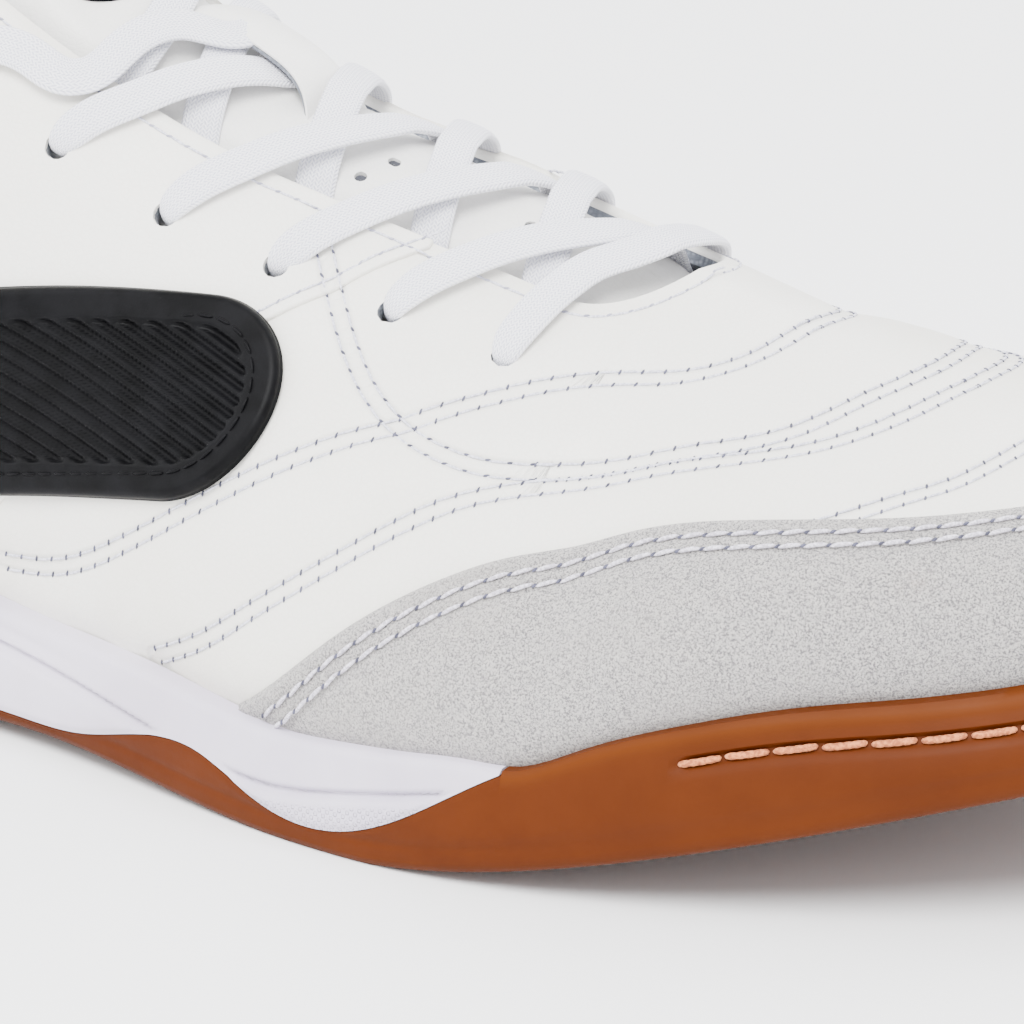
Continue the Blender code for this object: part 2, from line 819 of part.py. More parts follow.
def buildSidePatch(name, side, level, rise):
    """A plain oval on the quarter, its length along the shoe."""
    length = patchLength / soleLength
    height = patchHeight
    turns = np.linspace(-math.pi / 2, math.pi / 2, 15)
    places = turnOf(patchMiddle + length / 2 * np.sin(turns))
    outside = []
    inside = []
    for place in places:
        along = float(alongOf(place))
        end = max(abs(along - patchMiddle) - (length - height / soleLength) / 2, 0)
        half = height / 2 * math.sqrt(max(1 - (end / (height / 2 / soleLength)) ** 2, 0))
        centre = level + rise * (along - patchMiddle)
        column = np.linspace(0, 1, 121)
        line = rib(np.full_like(column, side * place), column)
        run = np.append(0, np.cumsum(np.linalg.norm(np.diff(line, axis=0), axis=1)))
        levels = centre * collarHeight + half * np.linspace(-1, 1, 6)
        shares = np.interp(levels, run, column)
        sides = np.full_like(shares, side * place)
        outside.append(skin(sides, shares, overlayGap + patchThickness))
        inside.append(skin(sides, shares, overlayGap))
    mesh = slabMesh(name, np.array(outside), np.array(inside))
    addObject(name, mesh, "side_patch")


def laceStrand(fromAlong, toAlong, side, under):
    """A flat strand from the throat's far edge, over the near edge, to the top of its eyelet."""
    rows = []
    fromAlong = fromAlong - under * strandSetback / soleLength
    start = -throatWidth(fromAlong) + 0.0030 if under else -throatWidth(fromAlong) - eyeletInset
    end = throatWidth(toAlong) + eyeletInset
    for share in np.linspace(0, 1, laceSteps):
        along = fromAlong + (toAlong - fromAlong) * share
        aside = start + (end - start) * share
        place = (side if aside > 0 else -side) * float(turnOf(along))
        rise = laceClear + laceThickness / 2
        low = -wallThickness / 2 if under else rise
        lift = low + (rise - low) * min(max(share / 0.35, 0), 1)
        centre, above = skin(
            np.array([place] * 2),
            np.array([shareFromCrest(place, abs(aside))] * 2),
            np.array([lift, lift + 0.001]),
        )
        rows.append((centre, above - centre))
    points = np.array([row[0] for row in rows])
    ups = np.array([row[1] / np.linalg.norm(row[1]) for row in rows])
    tangents = np.gradient(points, axis=0)
    across = np.cross(tangents, ups)
    across *= laceWidth / 2 / np.linalg.norm(across, axis=1, keepdims=True)
    ups *= laceThickness / 2
    outside = np.stack([points - across + ups, points + across + ups], 1)
    inside = np.stack([points - across - ups, points + across - ups], 1)
    return outside, inside


def buildLaces():
    """A straight bar at the lowest eyelets and a crossing above each pair but the top one."""
    rows = np.linspace(lowEyelet, topEyelet, eyeletPairs)
    addObject("lace_bar", slabMesh("lace_bar", *laceStrand(rows[0], rows[0], 1, False)), "lace")
    for k in range(eyeletPairs - 1):
        name = f"lace_cross_{k + 1}"
        crossing = addObject(name, slabMesh(name, *laceStrand(rows[k], rows[k + 1], 1, True)), "lace")
        mesh = slabMesh(name + "_half", *laceStrand(rows[k], rows[k + 1], -1, True))
        half = addObject(name + "_half", mesh)
        addModifier(crossing, "BOOLEAN", object=half, operation="UNION")


for thing in list(bpy.data.objects):
    bpy.data.objects.remove(thing, do_unlink=True)
shoe = bpy.data.collections.new("indoor_soccer_shoe")
cutters = bpy.data.collections.new("cutters")
bpy.context.scene.collection.children.link(shoe)
bpy.context.scene.collection.children.link(cutters)
root = bpy.data.objects.new("root", None)
shoe.objects.link(root)

buildSole()
buildInsole()
buildUpper()
buildTongue()
buildToeCap()
for row in patchTable:
    buildSidePatch(*row)
buildLaces()
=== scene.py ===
import math

import bmesh
import bpy
import numpy as np
from mathutils import Matrix, Vector


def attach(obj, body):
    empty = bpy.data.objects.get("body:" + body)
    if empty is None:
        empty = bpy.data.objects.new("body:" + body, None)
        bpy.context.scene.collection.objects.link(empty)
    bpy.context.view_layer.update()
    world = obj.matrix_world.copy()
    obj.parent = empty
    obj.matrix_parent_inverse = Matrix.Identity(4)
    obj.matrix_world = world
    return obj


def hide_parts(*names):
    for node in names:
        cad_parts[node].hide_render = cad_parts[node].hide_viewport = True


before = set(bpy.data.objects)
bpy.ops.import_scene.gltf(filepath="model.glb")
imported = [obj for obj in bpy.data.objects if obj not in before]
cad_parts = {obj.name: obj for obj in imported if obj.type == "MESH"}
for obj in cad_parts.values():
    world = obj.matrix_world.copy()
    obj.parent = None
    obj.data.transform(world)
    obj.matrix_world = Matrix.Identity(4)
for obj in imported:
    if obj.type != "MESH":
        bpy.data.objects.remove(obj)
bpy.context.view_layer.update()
print("frame loaded:", len(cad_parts), "nodes")

# Right indoor soccer shoe: +X to the toe, +Y to the inner side, +Z up, in metres

# the shoe's own form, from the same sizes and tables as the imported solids
last = {
    "length": 0.292, "width": 0.1025, "rim": 0.030, "seat": 0.025,
    "spring": 0.0225, "springStart": 0.645, "springFall": 0.55, "springPower": 1.55,
    "arch": 0.0022, "archStart": 0.30, "archEnd": 0.61, "heelLift": 0.0030, "heelFlat": 0.07,
    "lean": 0.0018, "toeLean": 0.0026, "leanStart": 0.70, "leanFrom": 0.35, "leanPower": 1.4,
    "lip": 0.0030, "skirt": 0.0013, "plate": 0.0020, "gap": 0.0003, "nose": 0.0018,
    "instep": 0.100, "collar": 0.084, "wall": 0.0020, "collarWall": 0.0048, "collarFront": 0.342,
    "throatHalf": 0.0158, "throatRound": 0.0100, "throatEnd": 0.690, "eyeletInset": 0.0112,
    "toeFan": 0.84, "toeFanShare": 0.469, "heelFan": 0.20, "heelFanShare": 0.5, "toeTipShift": 0.117,
}

outlineTable = [  # along, outer, inner, as shares of the width
    (0.020, 0.151, 0.151), (0.060, 0.254, 0.254), (0.120, 0.322, 0.322), (0.200, 0.351, 0.351),
    (0.300, 0.361, 0.332), (0.380, 0.368, 0.298), (0.460, 0.398, 0.283), (0.540, 0.449, 0.312),
    (0.620, 0.493, 0.380), (0.700, 0.498, 0.454), (0.780, 0.459, 0.498), (0.850, 0.390, 0.493),
    (0.910, 0.298, 0.454), (0.955, 0.190, 0.385), (0.985, 0.059, 0.293),
]
rimTable = [  # along, rim, rubber edge, as shares of the rim level
    (0.000, 1.08, 0.30), (0.050, 1.05, 0.23), (0.150, 0.95, 0.16), (0.300, 0.80, 0.15),
    (0.380, 0.71, 0.18), (0.445, 0.64, 0.19), (0.484, 0.59, 0.20), (0.528, 0.53, 0.28),
    (0.556, 0.49, 0.285), (0.593, 0.46, 0.165), (0.634, 0.465, 0.110), (0.668, 0.48, 0.215),
    (0.693, 0.49, 0.345), (0.720, 0.51, 0.51), (0.745, 0.61, 0.61), (0.785, 0.75, 0.75),
    (0.830, 0.86, 0.86), (0.873, 0.92, 0.92), (0.920, 0.99, 0.99), (1.000, 1.20, 1.20),
]
seatTable = [  # along, seat, as a share of the seat level
    (0.00, 1.00), (0.10, 0.93), (0.25, 0.80), (0.40, 0.60), (0.50, 0.45), (0.60, 0.36),
    (0.68, 0.36), (0.75, 0.46), (0.84, 0.66), (0.92, 0.86), (1.00, 1.10),
]
crestTable = [  # along, height as a share of the instep, shift as one of the width
    (0.00, 1.55, 0.000), (0.10, 1.58, 0.000), (0.20, 1.50, 0.005), (0.28, 1.28, 0.015),
    (0.34, 1.06, 0.022), (0.38, 0.965, 0.028), (0.43, 0.878, 0.032), (0.48, 0.808, 0.036),
    (0.54, 0.748, 0.042), (0.60, 0.703, 0.048), (0.66, 0.652, 0.055), (0.72, 0.597, 0.062),
    (0.78, 0.556, 0.070), (0.84, 0.522, 0.080), (0.92, 0.500, 0.090), (1.00, 0.475, 0.098),
]
sideTable = [  # along, outer out, up, spread, drop, inner out, up, spread, drop
    (0.00, 0.05, 0.24, 0.22, 0.12, 0.05, 0.24, 0.22, 0.12),
    (0.10, 0.05, 0.24, 0.29, 0.12, 0.05, 0.24, 0.29, 0.12),
    (0.20, 0.04, 0.22, 0.31, 0.10, 0.04, 0.22, 0.31, 0.10),
    (0.30, 0.04, 0.20, 0.31, 0.06, 0.05, 0.22, 0.31, 0.06),
    (0.43, 0.04, 0.20, 0.26, 0.02, 0.06, 0.24, 0.26, 0.02),
    (0.54, 0.05, 0.17, 0.23, 0.02, 0.07, 0.22, 0.24, 0.02),
    (0.66, 0.06, 0.14, 0.21, 0.02, 0.06, 0.18, 0.22, 0.02),
    (0.78, 0.06, 0.14, 0.25, 0.00, 0.05, 0.16, 0.24, 0.00),
    (0.90, 0.05, 0.13, 0.24, 0.00, 0.05, 0.14, 0.23, 0.00),
    (1.00, 0.03, 0.08, 0.15, 0.00, 0.03, 0.08, 0.15, 0.00),
]
collarTable = [  # along, height as a share of the collar's
    (0.000, 1.00), (0.050, 0.97), (0.110, 0.86), (0.170, 0.74), (0.230, 0.70), (0.280, 0.75),
    (0.315, 0.88), (0.342, 1.03), (0.385, 1.40),
]
throatTable = [(0.32, 1.30), (0.45, 1.17), (0.53, 1.09), (0.60, 1.02), (0.69, 0.95)]  # along, half width
capTable = [  # along, outer, inner share of the rib
    (0.566, -0.010, -0.010),
    (0.578, 0.035, 0.035), (0.620, 0.195, 0.170), (0.660, 0.315, 0.290), (0.700, 0.400, 0.375),
    (0.740, 0.455, 0.430), (0.800, 0.490, 0.480), (0.850, 0.530, 0.530), (0.900, 0.620, 0.620),
    (0.950, 0.730, 0.730), (1.000, 0.840, 0.840),
]


def splineThrough(knots, values, period=None):  # smooth curve through rows, closed after a period
    x = np.array(knots, float)
    y = np.array(values, float).reshape(len(x), -1)
    if period:
        x = np.append(x, x[0] + period)
        y = np.vstack([y, y[0]])
    h = np.diff(x)
    n = len(x)
    matrix = np.zeros((n, n))
    right = np.zeros_like(y)
    slope = np.diff(y, axis=0) / h[:, None]
    for i in range(1, n - 1):
        matrix[i, i - 1 : i + 2] = h[i - 1], 2 * (h[i - 1] + h[i]), h[i]
        right[i] = 6 * (slope[i] - slope[i - 1])
    matrix[0, 0] = 1
    if period:
        matrix[0, -1] = -1
        matrix[-1, [0, 1, -2, -1]] = 2 * h[0], h[0], h[-1], 2 * h[-1]
        right[-1] = 6 * (slope[0] - slope[-1])
    else:
        matrix[-1, -1] = 1
    bend = np.linalg.solve(matrix, right)

    def at(t):
        t = np.asarray(t, float)
        if period:
            t = x[0] + np.mod(t - x[0], period)
        t = np.clip(t, x[0], x[-1])
        i = np.clip(np.searchsorted(x, t, side="right") - 1, 0, n - 2)
        u = (t - x[i])[..., None]
        w = h[i][..., None]
        v = w - u
        value = (bend[i] * v**3 + bend[i + 1] * u**3) / (6 * w)
        value = value + (y[i] / w - bend[i] * w / 6) * v + (y[i + 1] / w - bend[i + 1] * w / 6) * u
        return value[..., 0] if value.shape[-1] == 1 else value

    return at


def turnOf(along):  # place round the outline, 0 at the heel to 1 at the toe
    return np.arccos(1 - 2 * np.clip(np.asarray(along, float), 0, 1)) / math.pi


def alongOf(place):
    return (1 - np.cos(math.pi * np.asarray(place, float))) / 2


def roundTheShoe(table, outer, inner, heel=None, toe=None):
    heel = heel or [table[0][c] for c in outer]
    toe = toe or [table[-1][c] for c in outer]
    rows = [row for row in table if 0 < row[0] < 1]
    knots = [-turnOf(row[0]) for row in reversed(rows)] + [0.0] + [turnOf(row[0]) for row in rows] + [1.0]
    values = [[row[c] for c in inner] for row in reversed(rows)] + [heel]
    values += [[row[c] for c in outer] for row in rows] + [toe]
    return splineThrough(knots, values, period=2.0)


def columnSpline(table, column):
    return splineThrough([row[0] for row in table], [row[column] for row in table])


def unit(vectors):
    return vectors / np.maximum(np.linalg.norm(vectors, axis=-1, keepdims=True), 1e-12)


def runAlong(points):  # length of a line of points up to each of them
    return np.append(0, np.cumsum(np.linalg.norm(np.diff(points, axis=0), axis=1)))


signedOutline = [(along, -outer, inner) for along, outer, inner in outlineTable]
outlineAt = roundTheShoe(signedOutline, [1], [2], [0.0], [last["toeTipShift"]])
rimAt = roundTheShoe(rimTable, [1, 2], [1, 2])
seatAt = roundTheShoe(seatTable, [1], [1])
crestAt = roundTheShoe(crestTable, [1, 2], [1, 2])
sideAt = roundTheShoe(sideTable, [1, 2, 3, 4], [5, 6, 7, 8])
collarAt = columnSpline(collarTable, 1)
throatAt = columnSpline(throatTable, 1)
capAt = {1: columnSpline(capTable, 1), -1: columnSpline(capTable, 2)}
allRound = outlineAt(np.linspace(-1, 1, 721))
outlineScale = 1 / (allRound.max() - allRound.min())
outlineMiddle = (allRound.max() + allRound.min()) / 2


def outlineEdge(place):
    x = (alongOf(place) - 0.5) * last["length"]
    y = (outlineAt(place) - outlineMiddle) * outlineScale * last["width"]
    return np.stack([x, y], -1)


def outlinePoint(place, inset=0.0):  # point of the sole's outline in plan, moved in, and the way out
    place = np.asarray(place, float)
    step = 1e-4
    tangent = unit(outlineEdge(place + step) - outlineEdge(place - step))
    out = np.stack([tangent[..., 1], -tangent[..., 0]], -1)
    return outlineEdge(place) - out * np.asarray(inset)[..., None], out


def ground(along):  # underside: flat under heel and forefoot
    along = np.asarray(along, float)
    toe = np.clip((along - last["springStart"]) / (1 - last["springStart"]), 0, 1)
    rise = last["springPower"] * toe ** last["springPower"] - last["springFall"] * toe**3
    heel = np.clip((last["heelFlat"] - along) / last["heelFlat"], 0, 1) ** 2 * last["heelLift"]
    arch = np.clip((along - last["archStart"]) / (last["archEnd"] - last["archStart"]), 0, 1)
    return rise * last["spring"] + heel + np.sin(math.pi * arch) ** 2 * last["arch"]


soleTrim = [  # along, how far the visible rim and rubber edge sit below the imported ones, in millimetres
    (0.250, 0.0, 0.0), (0.330, 1.2, 0.9), (0.400, 2.8, 1.8), (0.445, 3.2, 2.0), (0.484, 2.4, 1.7),
    (0.528, 1.5, 0.9), (0.556, 1.2, 1.0), (0.593, 1.0, 1.0), (0.634, 0.4, 0.1), (0.668, 0.0, -0.4),
    (0.693, -0.3, -0.8), (0.720, 0.0, 0.0),
]
trimAt = splineThrough([row[0] for row in soleTrim], [row[1:] for row in soleTrim])


def rimHeight(place):
    return rimAt(place)[..., 0] * last["rim"] - trimAt(alongOf(place))[..., 0] * 0.001


def rubberHeight(place):
    edge = rimAt(place)[..., 1] * last["rim"] - trimAt(alongOf(place))[..., 1] * 0.001
    return np.minimum(edge, rimHeight(place))


def seatHeight(place):
    return seatAt(place) * last["seat"]


def leanAt(place):
    toe = np.clip((alongOf(place) - last["leanStart"]) / (1 - last["leanStart"]), 0, 1)
    return last["lean"] + last["toeLean"] * np.sin(toe * math.pi / 2)


def sideInset(place, height):
    base = ground(alongOf(place))
    share = np.clip((height - base) / (rimHeight(place) - base), 0, 1)
    leant = np.clip((share - last["leanFrom"]) / (1 - last["leanFrom"]), 0, 1) ** last["leanPower"]
    return leanAt(place) * leant


def cupInset(place):
    return leanAt(place) + last["lip"]


def crestAlong(along):
    toe = np.clip((along - last["toeFan"]) / (1 - last["toeFan"]), 0, 1)
    heel = np.clip((last["heelFan"] - along) / last["heelFan"], 0, 1)
    fan = (1 - last["toeFan"]) * last["toeFanShare"] * toe**2
    return along - fan + last["heelFan"] * last["heelFanShare"] * heel**2


def rib(place, t):  # point of the upper's outer surface, t from the rim to the crest
    place, t = np.broadcast_arrays(np.asarray(place, float), np.asarray(t, float))
    foot, out = outlinePoint(place, cupInset(place) + last["gap"])
    height, shift = np.moveaxis(crestAt(place), -1, 0)
    swellOut, swellUp, spread, drop = np.moveaxis(sideAt(place) * last["width"], -1, 0)
    low = np.concatenate([foot, (rimHeight(place) + 2 * last["gap"])[..., None]], -1)
    crest = np.stack(
        [
            (crestAlong(alongOf(place)) - 0.5) * last["length"],
            (shift - outlineMiddle * outlineScale) * last["width"],
            height * last["instep"],
        ],
        -1,
    )
    away = unit((low - crest)[..., :2])
    side = low + np.concatenate([out * swellOut[..., None], swellUp[..., None]], -1)
    top = crest + np.concatenate([away * spread[..., None], -drop[..., None]], -1)
    t = t[..., None]
    s = 1 - t
    return s**3 * low + 3 * s**2 * t * side + 3 * s * t**2 * top + t**3 * crest


def skinFrame(place, t):  # point and outward normal of the upper's outer surface
    step = 1e-3
    forward = rib(place + step, t) - rib(place - step, t)
    upward = rib(place, t + step) - rib(place, t - step)
    return rib(place, t), unit(np.cross(forward, upward))


def shareAtRun(place, run):  # share of a rib that lies a set run over the skin below its crest
    place, run = np.broadcast_arrays(np.asarray(place, float), np.asarray(run, float))
    share = np.linspace(1, 0, 201)
    known, back = np.unique(np.round(place.ravel(), 9), return_inverse=True)
    steps = np.linalg.norm(np.diff(rib(known[:, None], share[None]), axis=1), axis=2)
    runs = np.concatenate([np.zeros((len(known), 1)), np.cumsum(steps, axis=1)], 1)
    found = [np.interp(r, runs[b], share) for r, b in zip(run.ravel(), back.ravel())]
    return np.array(found).reshape(place.shape)


def overSkin(along, aside, lift):  # point beside the crest line: aside is + on the outer side
    along, aside, lift = np.broadcast_arrays(*(np.asarray(v, float) for v in (along, aside, lift)))
    place = np.where(aside > 0, 1, -1) * turnOf(along)
    point, normal = skinFrame(place, shareAtRun(place, np.abs(aside)))
    return point + normal * lift[..., None], normal


def throatWidth(along):
    roundStart = last["throatEnd"] - last["throatRound"] / last["length"]
    turn = np.clip((np.asarray(along, float) - roundStart) / (last["throatEnd"] - roundStart), 0, 1)
    return throatAt(along) * last["throatHalf"] * np.sqrt(1 - turn**2)


def ribEnds(places):  # where each rib stops: collar line, throat edge or crest
    along = alongOf(places)
    ends = np.ones_like(along)
    open_ = along < last["throatEnd"]
    ends[open_] = shareAtRun(places[open_], throatWidth(along[open_]))
    share = np.linspace(0, 1, 241)
    collared = np.flatnonzero(along < collarTable[-1][0])
    heights = rib(places[collared][:, None], share[None])[..., 2]
    for i, height in zip(collared, heights):
        ends[i] = min(ends[i], np.interp(collarAt(along[i]) * last["collar"], height, share))
    return ends


def smoothStep(low, high, x):
    u = np.clip((np.asarray(x, float) - low) / (high - low), 0, 1)
    return u * u * (3 - 2 * u)


# making meshes
def plainMesh(name, points, faces):  # welds equal points and drops flat faces
    points = np.asarray(points, float).reshape(-1, 3)
    keys = np.round(points / 2e-6).astype(np.int64)
    _, first, back = np.unique(keys, axis=0, return_index=True, return_inverse=True)
    back = back.ravel()
    kept = []
    for face in faces:
        ids = [back[i] for i in face]
        ids = [a for k, a in enumerate(ids) if a != ids[k - 1]]
        if len(set(ids)) == len(ids) and len(ids) > 2:
            kept.append(ids)
    mesh = bpy.data.meshes.new(name)
    mesh.from_pydata(points[first].tolist(), [], kept)
    return mesh, first


def gridFaces(rows, columns, start=0, closedRows=False, closedColumns=False, flip=False):
    i = np.arange(rows if closedRows else rows - 1)[:, None]
    j = np.arange(columns if closedColumns else columns - 1)[None, :]
    i2, j2 = (i + 1) % rows, (j + 1) % columns
    quads = np.stack([i * columns + j, i * columns + j2, i2 * columns + j2, i2 * columns + j], -1)
    quads = quads.reshape(-1, 4) + start
    return quads[:, ::-1] if flip else quads


def addPiece(name, mesh, *materials, smooth=True, sharp=50):
    for material in materials:
        mesh.materials.append(material)
    piece = bpy.data.objects.new(name, mesh)
    bpy.context.scene.collection.objects.link(piece)
    if smooth:
        mesh.shade_smooth()
        if sharp:
            mesh.set_sharp_from_angle(angle=math.radians(sharp))
    return piece


def turnOutward(mesh):
    form = bmesh.new()
    form.from_mesh(mesh)
    bmesh.ops.recalc_face_normals(form, faces=form.faces)
    if form.calc_volume(signed=True) < 0:
        bmesh.ops.reverse_faces(form, faces=form.faces)
    form.to_mesh(mesh)
    form.free()


seamReach = 0.008


def seamValues(fields):  # distance from each seam, as far as it is needed
    return {"seam" + str(k): np.minimum(field, seamReach) for k, field in enumerate(fields.values())}


def setValues(mesh, name, values):
    attribute = mesh.attributes.new(name, "FLOAT", "POINT")
    attribute.data.foreach_set("value", np.asarray(values, np.float32))


def ringWall(upper, lower):  # faces between two closed rings of points
    return np.stack([upper, lower, np.roll(lower, -1), np.roll(upper, -1)], -1)


def rimFrame(edge, under):  # way out of a sheet's rim, and its thickness there
    out = np.cross(np.roll(edge, -1, 0) - np.roll(edge, 1, 0), edge - under)
    return unit(out), np.linalg.norm(edge - under, axis=1, keepdims=True)


def holeWalls(keep, grid, count, closed=False):  # faces through the sheet round the cells taken out
    rows, columns = keep.shape
    walls = []
    for i, j in zip(*np.nonzero(~keep)):
        i2 = (i + 1) % len(grid)
        for (di, dj), (a, b) in {
            (-1, 0): (grid[i, j], grid[i, j + 1]), (1, 0): (grid[i2, j + 1], grid[i2, j]),
            (0, -1): (grid[i2, j], grid[i, j]), (0, 1): (grid[i, j + 1], grid[i2, j + 1]),
        }.items():
            row = (i + di) % rows if closed else min(max(i + di, 0), rows - 1)
            if keep[row, min(max(j + dj, 0), columns - 1)]:
                walls.append((a, b, b + count, a + count))
    return np.array(walls, int).reshape(-1, 4)


def slab(name, outside, inside, *materials, rim=1, values=None, holes=()):
    # A closed sheet between two matching grids (rows, columns), with a rounded rim and round holes
    rows, columns = outside.shape[:2]
    keep = np.ones((rows - 1, columns - 1), bool)
    for centre, normal, radius in holes:
        punch(outside, inside, keep, centre, normal, radius)
    count = rows * columns
    grid = np.arange(count).reshape(rows, columns)
    points = [outside.reshape(-1, 3), inside.reshape(-1, 3)]
    quads = gridFaces(rows, columns)[keep.ravel()]
    back = quads[:, ::-1] + count
    border = np.concatenate([grid[0, :-1], grid[:-1, -1], grid[-1, :0:-1], grid[:0:-1, 0]])
    edge = outside.reshape(-1, 3)[border]
    under = inside.reshape(-1, 3)[border]
    out, thick = rimFrame(edge, under)
    bulge = 0.3
    walls = []
    previous = border
    for k in range(1, rim + 1):
        turn = math.pi * k / (rim + 1)
        middle = (edge + under) / 2 + (edge - under) / 2 * math.cos(turn)
        points.append(middle - out * thick * bulge * math.sin(turn))
        current = 2 * count + (k - 1) * len(border) + np.arange(len(border))
        walls.append(ringWall(previous, current))
        previous = current
    walls.append(ringWall(previous, border + count))
    faces = np.concatenate([quads, back, *walls, holeWalls(keep, grid, count)])
    mesh, first = plainMesh(name, np.concatenate(points), faces.tolist())
    turnOutward(mesh)
    for key, value in (values or {}).items():
        rimValues = [value.ravel()[border]] * rim
        whole = np.concatenate([value.ravel(), value.ravel(), *rimValues])
        setValues(mesh, key, whole[first])
    return addPiece(name, mesh, *materials)


def punch(outside, inside, keep, centre, normal, radius):  # removes faces and rounds the ring left
    middle = (outside[:-1, :-1] + outside[1:, 1:] + outside[:-1, 1:] + outside[1:, :-1]) / 4
    apart = middle - centre
    depth = apart @ normal
    flat = np.linalg.norm(apart - depth[..., None] * normal, axis=-1)
    reach = 0.006
    gone = (flat < radius) & (np.abs(depth) < reach)
    keep &= ~gone
    touched = np.zeros(outside.shape[:2], bool)
    kept = np.zeros(outside.shape[:2], bool)
    for di in (0, 1):
        for dj in (0, 1):
            touched[di : di + gone.shape[0], dj : dj + gone.shape[1]] |= gone
            kept[di : di + gone.shape[0], dj : dj + gone.shape[1]] |= ~gone
    for grid in (outside, inside):
        ring = grid[touched & kept]
        apart = ring - centre
        depth = (apart @ normal)[:, None] * normal
        flat = apart - depth
        flat *= radius / np.linalg.norm(flat, axis=1, keepdims=True)
        grid[touched & kept] = centre + depth + flat


# seams of the upper: along, share of the rib; the same on both sides
seams = {
    "vampHigh": [(0.422, 0.063), (0.458, 0.105), (0.488, 0.172), (0.510, 0.234), (0.559, 0.385),
                 (0.577, 0.435), (0.631, 0.556), (0.664, 0.640), (0.701, 0.720), (0.726, 0.778),
                 (0.738, 0.835), (0.744, 0.92), (0.745, 1.0)],
    "vampMiddle": [(0.545, 0.730), (0.555, 0.690), (0.576, 0.611), (0.607, 0.536), (0.626, 0.515),
                   (0.646, 0.506), (0.682, 0.525), (0.724, 0.590), (0.761, 0.653), (0.780, 0.710),
                   (0.794, 0.837), (0.799, 0.93), (0.800, 1.0)],
    "vampLow": [(0.512, 0.0), (0.544, 0.096), (0.572, 0.197), (0.617, 0.339), (0.660, 0.455),
                (0.698, 0.523), (0.729, 0.573), (0.776, 0.644), (0.793, 0.686), (0.808, 0.765),
                (0.816, 0.870), (0.818, 1.0)],
    "toe": [(0.800, 0.455), (0.815, 0.490), (0.827, 0.531), (0.842, 0.600), (0.856, 0.674),
            (0.863, 0.750), (0.867, 0.850), (0.868, 1.0)],
}
quarterEdge = [  # front edge of the quarter's overlay: along, share of the rib
    (0.395, 0.02), (0.410, 0.10), (0.440, 0.24), (0.475, 0.37), (0.510, 0.48), (0.542, 0.586),
    (0.566, 0.674), (0.586, 0.756), (0.596, 0.795),
]
stitching = {
    "pitch": 0.00275, "rowGap": 0.0020, "threadWidth": 0.00034, "holeLength": 0.00085,
    "holeWidth": 0.00034, "valley": 0.00026, "valleyWidth": 0.0016, "puff": 0.00030,
    "puffAt": 0.0055, "puffWidth": 0.0032, "bow": 0.00010, "lift": 0.00004,
}


def seamPath(table, where):  # along and share of the rib at shares of a seam's length
    knots = runAlong(np.array(table) * (3.5, 1))
    return np.moveaxis(splineThrough(knots, table)(where * knots[-1]), -1, 0)


def curveOver(table, side, count=260):  # dense line over the skin, with normals and side directions
    along, share = seamPath(table, np.linspace(0, 1, count))
    return lineFrom(side * turnOf(along), np.clip(share, 0, 1))


def lineFrom(place, share):
    point, normal = skinFrame(place, share)
    aside = np.cross(normal, unit(np.gradient(point, axis=0)))
    return {"point": point, "normal": normal, "aside": aside}


seamLines = {name: {side: curveOver(table, side) for side in (1, -1)} for name, table in seams.items()}


batch = 20000  # points measured at a time


def distanceTo(points, line):  # distance of surface points from a line's middle
    shape = points.shape[:-1]
    flat = points.reshape(-1, 3)
    centre = line["point"]
    nearest = np.empty(len(flat), int)
    for k in range(0, len(flat), batch):
        part = flat[k : k + batch]
        square = (part**2).sum(1)[:, None] - 2 * part @ centre.T + (centre**2).sum(1)[None]
        nearest[k : k + batch] = square.argmin(1)
    best = np.full(len(flat), np.inf)
    for shift in (-1, 0):  # the two chords that meet at the nearest sample
        first = np.clip(nearest + shift, 0, len(centre) - 2)
        chord = centre[first + 1] - centre[first]
        reach = np.clip(((flat - centre[first]) * chord).sum(1) / (chord**2).sum(1), 0, 1)
        apart = flat - centre[first] - chord * reach[:, None]
        best = np.minimum(best, np.linalg.norm(apart, axis=1))
    return best.reshape(shape)


def seamField(points):  # for each seam the distance from its nearer side
    return {
        name: np.minimum(distanceTo(points, sides[1]), distanceTo(points, sides[-1]))
        for name, sides in seamLines.items()
    }


creases = [  # soft creases: from (along, share) to (along, share), side, depth, width
    ((0.660, 0.300), (0.720, 0.700), 1, 0.00035, 0.0040),
    ((0.675, 0.300), (0.745, 0.640), 1, -0.00022, 0.0035),
    ((0.660, 0.280), (0.722, 0.720), -1, 0.00040, 0.0042),
    ((0.690, 0.260), (0.760, 0.600), -1, 0.00028, 0.0040),
    ((0.120, 0.200), (0.230, 0.260), 1, 0.00030, 0.0050),
    ((0.120, 0.220), (0.235, 0.270), -1, 0.00030, 0.0050),
    ((0.300, 0.250), (0.420, 0.480), -1, 0.00026, 0.0060),
    ((0.310, 0.600), (0.400, 0.330), 1, 0.00022, 0.0060),
]
creaseBow = 0.004

# inner eyestay, pushed up by the laces
edgeRise = {"height": 0.0012, "from": 0.42, "to": 0.688, "reach": 0.011, "samples": 80, "fullness": 0.7}


def edgeProfile():
    along = np.linspace(edgeRise["from"], edgeRise["to"], edgeRise["samples"])
    point, _ = overSkin(along, -throatWidth(along), 0.0)
    height = np.sin(np.linspace(0, math.pi, edgeRise["samples"])) ** edgeRise["fullness"]
    return {"point": point, "height": height}


edgeLine = edgeProfile()


